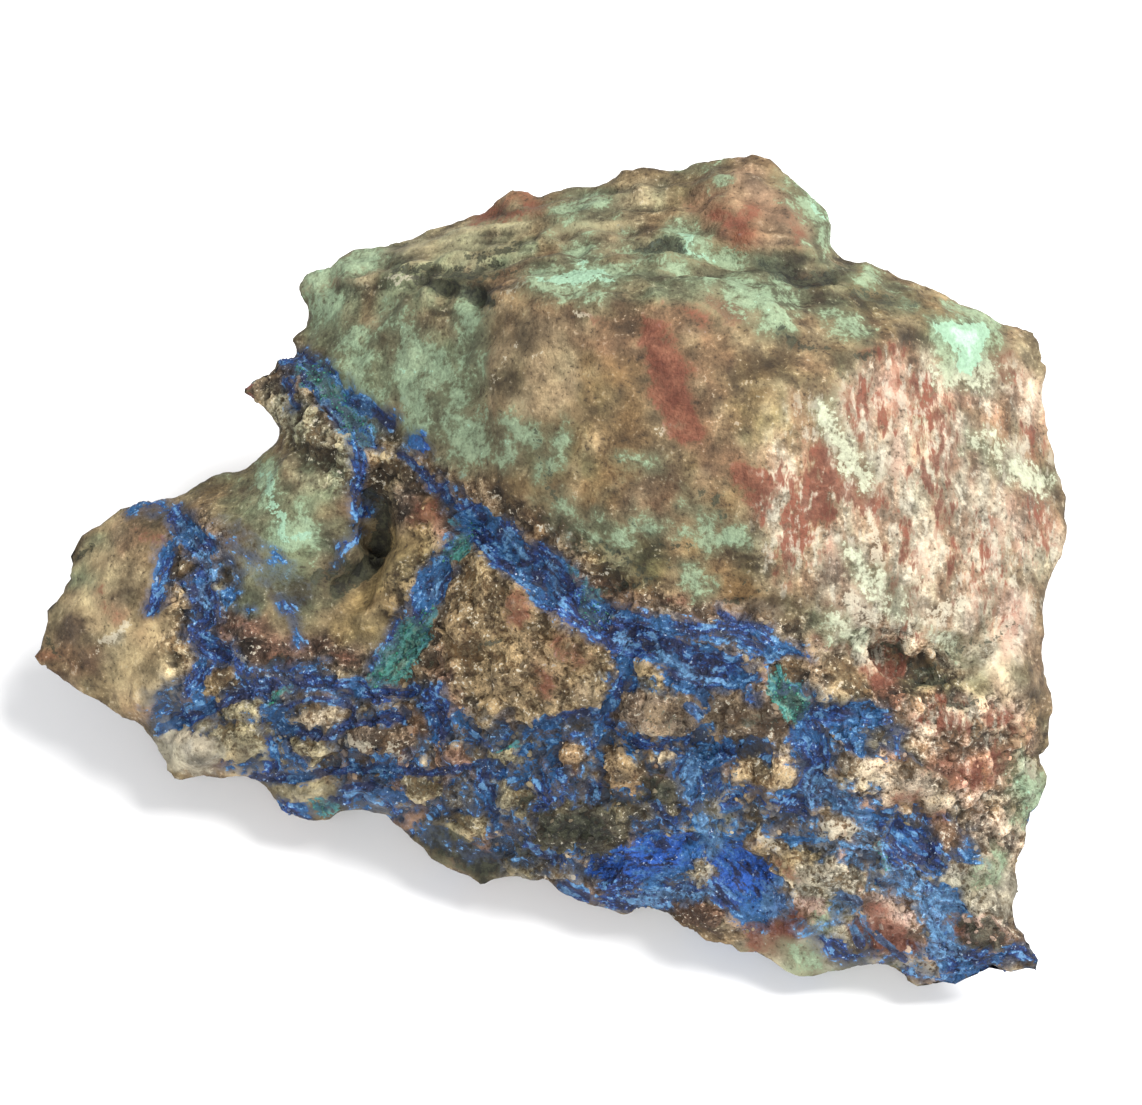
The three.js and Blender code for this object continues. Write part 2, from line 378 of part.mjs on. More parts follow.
// How far outside a triangle (u, v) is, as a share of it, and the depth of its plane there.
function onTriangle([a, b, c], u, v) {
  const det = (b[0] - a[0]) * (c[1] - a[1]) - (b[1] - a[1]) * (c[0] - a[0]);
  const s = ((u - a[0]) * (c[1] - a[1]) - (v - a[1]) * (c[0] - a[0])) / det;
  const t = ((b[0] - a[0]) * (v - a[1]) - (b[1] - a[1]) * (u - a[0])) / det;
  return [Math.max(-s, -t, s + t - 1), a[2] + s * (b[2] - a[2]) + t * (c[2] - a[2])];
}

// Points scattered over a side, never closer in space than the step there.
function scatter(loop, depth, step, first, seed) {
  const random = stream(seed);
  const cells = new Map();
  const cell = 4;
  const key = (i, j, k) => (i * 1009 + j) * 1009 + k;
  const kept = [];
  const offer = (u, v, w, gap) => {
    const p = toStone(u, v, w);
    const [i, j, k] = [p.x, p.y, p.z].map((x) => Math.floor(x / cell) + 100);
    for (let a = -1; a < 2; a++) for (let b = -1; b < 2; b++) for (let c = -1; c < 2; c++)
      for (const q of cells.get(key(i + a, j + b, k + c)) ?? [])
        if (p.distanceTo(q) < gap) return;
    cells.set(key(i, j, k), [...(cells.get(key(i, j, k)) ?? []), p]);
    kept.push([u, v, w]);
  };
  for (const p of loop) offer(...p, 0);
  for (const [u, v] of first) offer(u, v, depth(u, v), 0.8 * step(u, v));
  for (let n = 0; n < SCATTER_TRIES; n++) {
    const [u, v] = [-55 + 106 * random(), -44.5 + 85.5 * random()];
    if (isInside(loop, u, v)) offer(u, v, depth(u, v), step(u, v));
  }
  return kept;
}

// The triangles on each side of every edge, under a key of its two ends.
function edgesOf(tris) {
  const edges = new Map();
  tris.forEach((t, i) => t.forEach((a, k) => {
    const b = t[(k + 1) % 3];
    const id = a < b ? a * 100000 + b : b * 100000 + a;
    edges.set(id, [...(edges.get(id) ?? []), [i, t[(k + 2) % 3], a, b]]);
  }));
  return edges;
}

function angleAt(p, q, r) {
  return q.clone().sub(p).angleTo(r.clone().sub(p));
}

// Turns edges until the triangles are as even in space as they can be.
function evenOut(points, tris) {
  const places = points.map((p) => toStone(...p));
  for (let pass = 0; pass < 8; pass++) {
    const edges = edgesOf(tris);
    const done = new Set();
    for (const pair of edges.values()) {
      if (pair.length < 2 || done.has(pair[0][0]) || done.has(pair[1][0])) continue;
      const [[i, c, a, b], [j, d]] = pair;
      const wide = angleAt(places[c], places[a], places[b]) + angleAt(places[d], places[a], places[b]);
      const id = c < d ? c * 100000 + d : d * 100000 + c;
      const turned = [[a, d, c], [d, b, c]];
      if (wide < Math.PI + 1e-3 || edges.has(id) || turned.some((t) => area(points, t) < 1e-3)) continue;
      [tris[i], tris[j]] = turned;
      done.add(i).add(j);
    }
    if (!done.size) return;
  }
}

// Puts a point in the middle of each inner edge that joins two points of the rim.
function splitChords(points, tris, rimCount, depth) {
  for (const pair of edgesOf(tris).values()) {
    const [, , a, b] = pair[0];
    if (pair.length < 2 || a >= rimCount || b >= rimCount) continue;
    const [u, v] = [0, 1].map((k) => (points[a][k] + points[b][k]) / 2);
    points.push([u, v, depth(u, v)]);
    splitEdge(tris, a, b, points.length - 1);
  }
}

function splitEdge(tris, a, b, mid) {
  tris.slice().forEach((t, i) => {
    if (!t.includes(a) || !t.includes(b)) return;
    tris[i] = t.map((x) => (x === b ? mid : x));
    tris.push(t.map((x) => (x === a ? mid : x)));
  });
}

// One side of the stone: its points, the rim's first, and its triangles.
function sheet(loop, depth, step, first, seed) {
  const points = scatter(loop, depth, step, first, seed);
  const tris = triangulate(points, loop);
  splitChords(points, tris, loop.length, depth);
  evenOut(points, tris);
  return { points, tris };
}

// Evens the depths of a side's inner points with their neighbours'.
function soften({ points, tris }, rimCount, share, passes) {
  for (let pass = 0; pass < passes; pass++) {
    const sum = points.map(() => [0, 0]);
    for (const t of tris) for (const a of t) for (const b of t) {
      if (a === b) continue;
      sum[a][0] += points[b][2];
      sum[a][1] += 1;
    }
    points.forEach((p, i) => {
      if (i >= rimCount) p[2] += share(p[0], p[1]) * (sum[i][0] / sum[i][1] - p[2]);
    });
  }
}

const perlin = new ImprovedNoise();

// Noise over several sizes, each half the last in size and in height.
function fractal(p, size, octaves) {
  let [sum, high] = [0, 1];
  for (let k = 0; k < octaves; k++, size /= 2, high /= 2)
    sum += high * perlin.noise(p.x / size + 7.3 * k, p.y / size + 2.1, p.z / size + 5.7);
  return sum;
}

// Small flat facets like a fresh fracture: each cell of space leans its own way.
function chips(p, size) {
  const q = [p.x / size, p.y / size, p.z / size];
  const base = q.map(Math.floor);
  let best = [Infinity, 0];
  for (let a = -1; a < 2; a++) for (let b = -1; b < 2; b++) for (let c = -1; c < 2; c++) {
    const id = [base[0] + a, base[1] + b, base[2] + c];
    const random = stream(Math.imul(id[0], 73856093) ^ Math.imul(id[1], 19349663) ^ Math.imul(id[2], 83492791));
    random();
    const off = id.map((x, k) => q[k] - x - random());
    const far = Math.hypot(...off);
    const lean = off.reduce((sum, x) => sum + x * (random() - 0.5), 0);
    if (far < best[0]) best = [far, 1.6 * lean + 0.7 * (random() - 0.5)];
  }
  return best[1];
}

// 1 on the broken face below the crease, 0 on the worn faces above it.
function brokenness(u, v) {
  const line = BROKEN_EDGE;
  let i = 1;
  while (i < line.length - 1 && u > line[i][0]) i++;
  const [[u0, v0], [u1, v1]] = [line[i - 1], line[i]];
  const edge = v0 + ((v1 - v0) * (u - u0)) / (u1 - u0);
  return smooth(-1.5, 1.5, edge - v);
}

// Steps along the worn top: low ledges that run from left to right.
function ledges(p, v) {
  const along = (p.y + 0.12 * p.x + 1.6 * perlin.noise(p.x / 14, p.y / 14, 2.5)) / LEDGE_RUN;
  return LEDGE_RISE * smooth(24, 27, v) * (along - Math.floor(along) - 0.5);
}

function lump([u0, v0, a, b, turn, high], u, v) {
  const t = THREE.MathUtils.degToRad(turn);
  const [du, dv] = [u - u0, v - v0];
  const d = Math.hypot((du * Math.cos(t) + dv * Math.sin(t)) / a, (dv * Math.cos(t) - du * Math.sin(t)) / b);
  return high * (1 - smooth(0.5, 1.15, d));
}

// How far the veined side stands out at a point, over its softened facets.
function faceRelief(p, u, v) {
  const rough = brokenness(u, v);
  let out = (0.35 + 0.5 * rough) * fractal(p, 9, 3) + rough * 0.85 * chips(p, 4.4);
  out += (1 - rough) * 0.3 * chips(p, 8) + ledges(p, v);
  for (const l of LUMPS) out += lump(l, u, v);
  for (const [half, deep, path] of GROOVES) out -= deep * (1 - smooth(0.2, 1, toPath(path, u, v) / half));
  for (const [u0, v0, r, deep] of PITS) out -= deep * (1 - smooth(0.2, 1.1, Math.hypot(u - u0, v - v0) / r));
  return out;
}

function backRelief(p) {
  return 0.9 * fractal(p, 14, 4) + 1.3 * chips(p, 9.5) + 0.4 * chips(p, 4.7);
}

// The two sides sewn together along the rim, as one list of places and one of triangles.
function sew(front, back, rimCount) {
  const shift = front.points.length - rimCount;
  const points = [...front.points, ...back.points.slice(rimCount)];
  const turned = back.tris.map((t) => t.map((i) => (i < rimCount ? i : i + shift)).reverse());
  return { points, tris: [...front.tris, ...turned], frontCount: front.points.length };
}

function normals(places, tris) {
  const out = places.map(() => new THREE.Vector3());
  for (const [a, b, c] of tris) {
    const n = places[b].clone().sub(places[a]).cross(places[c].clone().sub(places[a]));
    for (const i of [a, b, c]) out[i].add(n);
  }
  return out.map((n) => n.normalize());
}

// Brings a point that lies beyond a break back towards it.
function slice(p, share) {
  for (const [x, y, z, far] of BREAKS) {
    const way = new THREE.Vector3(x, y, z).normalize();
    const over = p.dot(way) - far;
    if (over > 0) p.addScaledVector(way, -BREAK_SHARE * share * over);
  }
}

// Raises the relief on the sewn stone, least by the rim, and cuts the resting facet flat.
function carve({ points, tris, frontCount }, loop) {
  const places = points.map((p) => toStone(...p));
  const outward = normals(places, tris);
  places.forEach((p, i) => {
    const [u, v] = points[i];
    const hold = i < loop.length ? 0 : smooth(0, 2.5, toPath(loop, u, v, true));
    const out = i < frontCount ? faceRelief(p, u, v) : backRelief(p);
    p.addScaledVector(outward[i], out * hold);
    if (i >= frontCount) slice(p, hold);
    if (i >= frontCount && p.z < FLAT_SNAP) p.z = 0;
  });
  return places;
}

function stone() {
  const corners = rimCorners();
  const loop = rimLoop(corners);
  const swell = (u, v) => EDGE_ROUND * Math.sqrt(Math.min(toPath(loop, u, v, true) / EDGE_WIDTH, 1));
  const facing = [PLATEAU, BACK_LUMP, RIDGE, GREEN_FACE, BUMP, SOFT_RIDGE, RIGHT_FACE, CREASE, LOWER_FACE,
    CLAST, VALLEY, POCKET, LOBE, SHOULDER, LOWER_LEFT].flat();
  const set = BACK.map((p) => toFace(...p));
  const hidden = [...shoulders(loop).filter((p) => gapTo(set, p) > SHOULDER_CLEAR), ...set];
  const faceNet = facets([...corners, ...facing], corners);
  const backNet = facets([...corners, ...hidden], corners);
  const faceStep = (u, v) => THREE.MathUtils.lerp(SMOOTH_STEP, ROUGH_STEP, brokenness(u, v));
  const backStep = (u, v) => THREE.MathUtils.lerp(1.5, BACK_STEP, smooth(0, 7, toPath(loop, u, v, true)));
  const front = sheet(loop, (u, v) => faceNet(u, v) + swell(u, v), faceStep, facing, 11);
  const back = sheet(loop, (u, v) => backNet(u, v) - swell(u, v), backStep, hidden, 23);
  soften(front, loop.length, (u, v) => 0.2 + 0.25 * (1 - brokenness(u, v)), 2);
  soften(back, loop.length, () => 0.2, 2);
  const sewn = sew(front, back, loop.length);
  return { places: carve(sewn, loop), tris: sewn.tris };
}

// A ring of points close behind the rim, where the stone turns under.
function shoulders(loop) {
  const ring = [];
  for (let i = 0; i < loop.length; i += 3) {
    const [a, b] = [loop.at(i - 2), loop[(i + 2) % loop.length]];
    const long = Math.hypot(b[0] - a[0], b[1] - a[1]);
    const [u, v, w] = loop[i];
    const [x, y] = [u - (SHOULDER_IN * (b[1] - a[1])) / long, v + (SHOULDER_IN * (b[0] - a[0])) / long];
    const deep = SHOULDER_DEEP * (1 + 0.5 * perlin.noise(u / 9, v / 9, 8.1));
    for (const s of [1, -1]) {
      const [p, q] = [u + s * (x - u), v + s * (y - v)];
      if (isInside(loop, p, q) && toPath(loop, p, q, true) > 0.6 * SHOULDER_IN) ring.push([p, q, w - deep]);
    }
  }
  return ring;
}

function gapTo(points, [u, v]) {
  return Math.min(...points.map((p) => Math.hypot(p[0] - u, p[1] - v)));
}

function meshOf({ places, tris }) {
  const box = new THREE.Box3().setFromPoints(places);
  const middle = box.getCenter(new THREE.Vector3()).setZ(0);
  const geometry = new THREE.BufferGeometry();
  const numbers = places.flatMap((p) => p.clone().sub(middle).toArray());
  geometry.setAttribute("position", new THREE.Float32BufferAttribute(numbers, 3));
  geometry.setIndex(tris.flat());
  geometry.computeVertexNormals();
  const material = new THREE.MeshStandardMaterial({
    color: new THREE.Color(...STONE), roughness: 0.85, metalness: 0, flatShading: true,
  });
  const mesh = new THREE.Mesh(geometry, material);
  mesh.name = "specimen";
  return mesh;
}

const part = new THREE.Group();
part.add(meshOf(stone()));
export default part;
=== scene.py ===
"""Azurite and malachite specimen: the looks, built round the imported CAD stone.

One fine skin stands for the CAD solid. It is the same surface cut finer, with grains, cracks,
striations and crusts worked out in numpy. The minerals are strokes laid on the leaning face.
Small azurite crystals, malachite beads, quartz grains and crumbs of rock sit on the skin.
"""

import bpy
import math
import numpy as np
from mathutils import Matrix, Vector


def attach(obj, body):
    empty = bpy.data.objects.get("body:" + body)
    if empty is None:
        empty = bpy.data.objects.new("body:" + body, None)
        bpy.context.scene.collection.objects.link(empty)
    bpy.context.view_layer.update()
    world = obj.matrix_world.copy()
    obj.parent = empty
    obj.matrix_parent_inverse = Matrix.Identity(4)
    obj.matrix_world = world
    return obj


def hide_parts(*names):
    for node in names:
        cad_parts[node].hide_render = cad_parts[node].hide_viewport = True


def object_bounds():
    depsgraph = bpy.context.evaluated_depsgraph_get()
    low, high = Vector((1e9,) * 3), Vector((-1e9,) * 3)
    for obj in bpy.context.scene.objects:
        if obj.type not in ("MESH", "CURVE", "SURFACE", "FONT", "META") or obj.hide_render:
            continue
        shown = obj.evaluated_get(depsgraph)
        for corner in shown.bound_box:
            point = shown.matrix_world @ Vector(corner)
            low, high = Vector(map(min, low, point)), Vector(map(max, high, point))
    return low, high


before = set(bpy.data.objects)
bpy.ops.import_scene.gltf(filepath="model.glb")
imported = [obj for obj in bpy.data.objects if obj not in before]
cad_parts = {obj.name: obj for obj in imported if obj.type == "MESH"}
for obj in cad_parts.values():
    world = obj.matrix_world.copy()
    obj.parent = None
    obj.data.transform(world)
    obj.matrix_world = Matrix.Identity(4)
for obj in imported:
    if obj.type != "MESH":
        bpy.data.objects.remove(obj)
CAD_BOX = [list(corner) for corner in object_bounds()]

MM = 0.001  # a millimetre in metres
MARGIN = 0.02  # mm that everything keeps inside the CAD box

# The lowest and highest corner of the room that is left inside the CAD box, mm.
LOW, HIGH = np.array(CAD_BOX[0]) / MM + MARGIN, np.array(CAD_BOX[1]) / MM - MARGIN

# The body everything rides, the CAD node the skin stands for, and the name of a material slot.
BODY, NODE, SLOT = "root", "specimen", "rock"

# The leaning face plane in the row frame, mm: its tilt, the eye's distance and its centre.
TILT = math.radians(52)
SIGHT = 420.0
CENTRE = np.array([2.72727, 1.98070, 20.0])
TOWARDS_EYE = np.array([0.0, -math.cos(TILT), math.sin(TILT)])
UP_FACE = np.array([0.0, math.sin(TILT), math.cos(TILT)])


def places(numbers):
    """A path on the face plane from a flat list of threes: how far across and up from the centre
    and how wide, all in tenths of a mm. Gives mm across, mm up and mm of half width."""
    return np.array(numbers, float).reshape(-1, 3) / (10, 10, 20)


def strokes(*rows):
    """Strokes from rows of a fullness and then a path: pairs of the fullness and the path."""
    return [(row[0], places(row[1:])) for row in rows]


def coloured(*rows):
    """Strokes from rows of a colour and then some paths: pairs of the colour and the paths."""
    return [(colour, [places(path) for path in paths]) for colour, *paths in rows]


# Strokes, listed one by one, a table for each mineral and each kind of ground. A stroke's fullness is
# its strength right at its edge: a mineral begins to show at about 0.3 and hides the rock at 0.7.

# blue azurite veins, crusts and lenses
AZURITE = strokes(
    (0.7, -295,194,8, -271,196,12, -249,186,12, -229,168,10, -219,148,8),
    (0.95, -221,152,8, -204,145,9, -181,128,5), (0.6, -211,128,10, -199,112,8, -189,104,4),
    (0.75, -287,176,3, -278,146,2), (0.75, -271,180,4, -253,156,4, -233,132,3),
    (0.75, -241,152,4, -226,122,3), (1.05, -154,111,9, -149,105,6),
    (0.6, -219,127,10, -213,104,10, -212,84,12, -210,62,14, -211,38,14),
    (0.3, -215,22,14, -229,4,12, -235,-14,8), (0.6, -119,54,10, -105,38,16),
    (0.65, -171,97,6, -146,74,7, -123,54,9),
    (1, -105,36,18, -83,16,30, -56,-4,36, -26,-26,40, 1,-54,40, 26,-75,40, 54,-88,38, 84,-96,30,
     109,-110,36, 133,-118,38, 159,-124,30, 179,-120,22),
    (0.6, 19,-60,16, 59,-66,18, 97,-76,18, 129,-78,14, 173,-78,20, 206,-96,14, 241,-104,5),
    (0.4, 173,-90,22, 201,-102,16), (0.8, -127,-6,10, -139,-28,20, -149,-48,20, -157,-62,12),
    (0.5, -167,-62,8, -183,-90,10, -199,-116,8), (0.2, -119,12,14, -131,-8,18),
    (0.85, -411,-178,4, -391,-169,5, -371,-160,5, -348,-151,6, -321,-138,7, -293,-132,8),
    (0.7, -293,-132,10, -266,-128,14, -233,-132,14, -202,-138,16, -163,-138,14, -142,-147,14,
     -133,-164,16, -130,-186,10), (0.2, -301,-148,8, -281,-140,12, -251,-128,16),
    (0.1, -309,-120,10, -271,-114,10, -239,-110,8), (0.5, -331,-120,10, -309,-134,16),
    (0.5, -439,44,8, -415,49,12, -396,38,14),
    (0.9, -399,42,12, -383,18,18, -368,2,20, -365,-14,16, -372,-30,18, -368,-48,18, -369,-65,20,
     -377,-80,14, -363,-93,16, -345,-103,10),
    (0.6, -393,16,8, -404,2,16, -408,-16,16, -415,-38,12, -422,-54,14), (0.4, -407,-26,10, -378,-32,12),
    (0.8, -368,-112,8, -377,-130,20, -387,-138,14), (0.6, -375,-146,12, -371,-153,6),
    (0.5, -339,-100,10, -335,-116,14, -325,-132,16, -305,-142,12), (0.2, -339,7,18, -313,-8,14),
    (-0.45, -346,22,40, -311,-8,44, -271,-38,30), (0.2, -333,-54,12, -315,-59,10),
    (0.1, -356,4,14, -331,-23,20, -346,-48,14), (0.4, -287,-46,10, -283,-56,10),
    (0, -281,-60,12, -271,-88,10), (0.5, -305,-176,8, -304,-196,14, -301,-216,14, -309,-224,8),
    (0.75, -291,-177,3, -283,-201,3, -267,-214,3),
    (0.75, -298,-172,3, -289,-158,3, -262,-146,3, -226,-149,3, -217,-162,3, -230,-180,3, -253,-185,3,
     -289,-175,3), (0.65, 129,-136,4, 137,-159,4), (0.65, 149,-60,3, 174,-70,3, 199,-78,3),
    (0.85, -257,-182,4, -244,-186,4, -218,-171,4, -174,-166,5),
    (0.75, -319,-226,6, -287,-226,6, -239,-219,5, -196,-216,5, -131,-221,5, -87,-212,7),
    (0.1, -199,-200,14, -183,-216,14), (0.7, -289,-254,8, -275,-263,12, -263,-266,8),
    (0.7, -236,-248,8, -226,-248,12, -211,-245,14, -185,-250,12, -173,-264,8),
    (0.75, -226,-238,8, -199,-234,8, -175,-244,8),
    (0.9, -87,-212,8, -87,-234,14, -81,-254,14, -78,-270,8),
    (0.6, -135,-183,9, -131,-203,8, -119,-224,10), (0.3, -113,-233,10, -95,-238,8),
    (0.8, -147,-142,20, -135,-154,24, -131,-170,20), (0.3, -131,-193,8, -106,-190,8, -85,-192,10),
    (0.4, -116,-160,10, -101,-176,10, -85,-196,10, -84,-218,8),
    (0.8, 57,-94,16, 55,-120,10, 41,-148,8, 36,-164,10, 29,-188,8),
    (0.3, 21,-190,18, 23,-218,22, 21,-248,14), (0.7, 34,-170,12, 51,-180,14, 69,-190,16, 87,-196,10),
    (0.5, 84,-192,8, 119,-188,8, 146,-186,10),
    (0.85, 36,-158,4, 14,-160,4, -6,-162,4, -26,-169,4, -42,-178,4),
    (0.5, 26,-185,5, -1,-186,4, -24,-185,5, -41,-198,7, -52,-210,6, -66,-218,10, -81,-224,12),
    (0.6, -31,-234,16, -23,-248,20, -35,-254,12), (0.85, -43,-290,6, -31,-298,8, -18,-310,6),
    (0.3, -1,-230,10, -15,-224,10), (0.4, 49,-103,8, 61,-112,10),
    (0.6, 145,-188,16, 153,-200,20, 135,-212,22), (0.6, 119,-212,22, 115,-226,26, 119,-244,22),
    (0.3, 125,-252,20, 131,-266,20, 139,-282,18), (0.3, 89,-193,10, 119,-208,14),
    (0.8, 173,-238,18, 189,-245,20, 207,-248,18, 225,-244,18), (0.5, 153,-254,16, 165,-248,16),
    (0.5, 197,-263,12, 229,-256,14, 244,-268,16, 243,-286,10),
    (0.9, 231,-170,12, 239,-188,26, 241,-210,26, 237,-232,24, 241,-248,18),
    (0.8, 229,-164,8, 261,-164,12, 291,-164,14, 319,-166,12), (1, 275,-182,8, 285,-190,14, 289,-198,8),
    (0.5, 314,-170,12, 326,-182,14, 328,-200,10),
    (0.8, 249,-234,20, 269,-252,18, 289,-263,16, 309,-270,12), (0.4, 244,-223,12, 267,-218,10),
    (0.5, 285,-270,10, 305,-284,8), (0.4, 215,-290,10, 249,-290,12, 279,-296,10, 309,-298,10),
    (0.3, 149,-286,12, 174,-290,12, 204,-298,8), (0.3, 199,-286,10, 229,-290,10),
    (1.2, 25,-316,6, 49,-308,20, 77,-306,32, 103,-304,30, 121,-296,20),
    (1, 41,-328,24, 69,-322,30, 97,-320,22), (0.9, 33,-348,12, 59,-352,20, 91,-348,20, 119,-344,14),
    (0.8, 35,-334,10, 79,-338,14, 129,-338,12, 153,-342,10),
    (1.2, 149,-300,14, 167,-316,34, 187,-336,36, 201,-350,20),
    (0.9, 135,-328,12, 153,-344,22, 175,-358,22, 191,-366,12), (0.8, 137,-294,14, 135,-310,10),
    (0.9, 325,-276,8, 333,-286,20, 343,-296,26, 357,-306,22, 371,-314,10),
    (0.5, 313,-296,12, 325,-310,22, 335,-328,20), (0.3, 305,-330,14, 325,-340,26, 347,-350,24),
    (1, 355,-336,12, 369,-346,22, 385,-350,16), (1, 355,-352,10, 365,-370,14, 373,-388,14, 383,-400,16),
    (0.85, 267,-344,6, 285,-348,8), (0.7, 253,-384,12, 265,-396,18, 279,-406,14, 309,-402,10),
    (0.75, 284,-378,6, 289,-393,8), (0.4, 309,-408,10, 334,-400,8),
    (0.8, 359,-398,16, 379,-410,26, 401,-412,24), (0.4, 334,-423,14, 369,-424,18, 409,-420,14),
    (0.6, 407,-406,12, 429,-404,10, 451,-400,16, 465,-406,12), (0.55, 299,-378,6, 334,-408,8),
    (0.2, 211,-344,12, 225,-350,10), (0.2, 69,-283,10, 97,-286,12, 119,-284,12),
    (0.7, 177,-138,8, 183,-145,13), (0.65, 119,-154,8, 129,-164,6), (0.55, 84,-256,8, 97,-268,8),
    (0.55, -11,-336,8, 14,-346,8), (-0.4, -146,-272,16, -101,-303,20, -41,-310,14, 29,-294,12),
    (0.1, 309,-298,16, 329,-328,20), (0.1, 229,-378,14, 289,-348,16),
)
# deep green to teal malachite
MALACHITE = strokes(
    (1.3, -267,188,6, -253,174,12, -237,156,10, -225,140,8, -215,124,8, -209,114,6),
    (0.8, -95,22,8, -105,12,16, -115,4,16, -125,-4,10),
    (0.8, -143,-54,10, -153,-68,18, -162,-86,24, -173,-104,26, -185,-118,22, -197,-130,10),
    (0.3, -167,-108,8, -173,-130,10), (1.3, 13,-46,10, 23,-56,14, 31,-64,8),
    (1.3, 208,-128,8, 215,-140,20, 225,-154,16, 229,-164,8), (0.4, -253,-254,14, -239,-258,12),
    (0.3, -303,-148,10, -281,-132,8), (0.2, 309,-298,12, 321,-314,16), (0.2, -51,-193,10, -71,-200,8),
    (0.2, -11,-8,8, 5,-30,10), (0.1, -119,32,14, -95,28,14),
)
# pale mint-green malachite film
MINT = strokes(
    (1, -31,274,3, -13,275,10, 9,278,18, 31,276,10, 51,275,3), (-0.2, -41,270,10, 69,272,24),
    (1, 10,290,5, 19,296,3), (0.9, 109,316,10, 119,306,10, 133,298,10, 143,296,6),
    (0, 69,302,40, 129,290,44, 179,282,40, 219,252,30), (0.3, 164,267,24, 194,252,34, 207,227,22),
    (1.5, 377,222,3, 391,218,8, 405,216,10, 399,204,7, 396,190,3), (-0.3, 364,227,20, 419,212,30),
    (0.3, 261,240,18, 279,230,26, 299,222,14), (0.6, 231,370,12, 245,352,20, 257,334,18, 259,312,14),
    (0.3, -261,277,30, -231,290,30, -196,297,24), (0, -251,252,40, -231,212,50, -191,172,60),
    (0.3, -176,222,40, -151,182,60, -131,142,60, -121,112,40),
    (0.3, -141,132,50, -101,112,50, -66,102,40), (0.2, -71,122,40, -41,112,30),
    (0.2, -241,182,30, -201,152,34), (0, -101,242,40, -101,192,30),
    (0.7, -309,82,14, -301,60,18, -291,38,20, -285,18,18),
    (0.4, -301,24,16, -281,16,24, -259,16,26, -245,24,14), (-0.5, -326,-8,30, -291,-23,40, -261,-18,40),
    (-0.2, -351,82,20, -321,72,30), (0.5, 59,37,8, 69,28,14, 84,20,16, 94,28,10),
    (0.4, 108,44,8, 122,40,8), (0.4, 131,40,10, 139,24,16, 135,7,10), (0.4, 115,18,12, 129,14,10),
    (0.3, 147,16,10, 177,12,8), (0.2, -26,57,20, -1,37,30, 24,17,30), (0.3, 29,32,24, 49,7,30),
    (0.4, 54,96,12, 79,88,14), (0.2, -11,112,24, -31,82,30),
    (0.3, 250,148,5, 255,132,8, 267,114,12, 284,92,12, 297,72,8), (0.3, 129,-38,10, 119,-18,14),
    (0.2, 399,112,16, 429,92,24, 469,72,24), (0.4, 445,-218,18, 459,-238,28, 455,-263,16),
    (0, 214,-393,18, 234,-408,24, 259,-413,14), (0.3, 287,-416,8, 324,-418,10),
    (0.2, 267,-353,14, 249,-368,20), (0.1, 289,-8,30, 329,-48,30), (0, 249,-68,24, 289,-88,24),
    (-0.1, 369,-88,20, 394,-103,24), (-0.1, 429,-308,30, 409,-328,30), (0.1, 119,392,20, 149,377,20),
    (0.1, 29,352,30, -11,337,30), (0.1, 299,272,30, 329,252,30), (0.1, 149,-288,20, 134,-263,16),
)
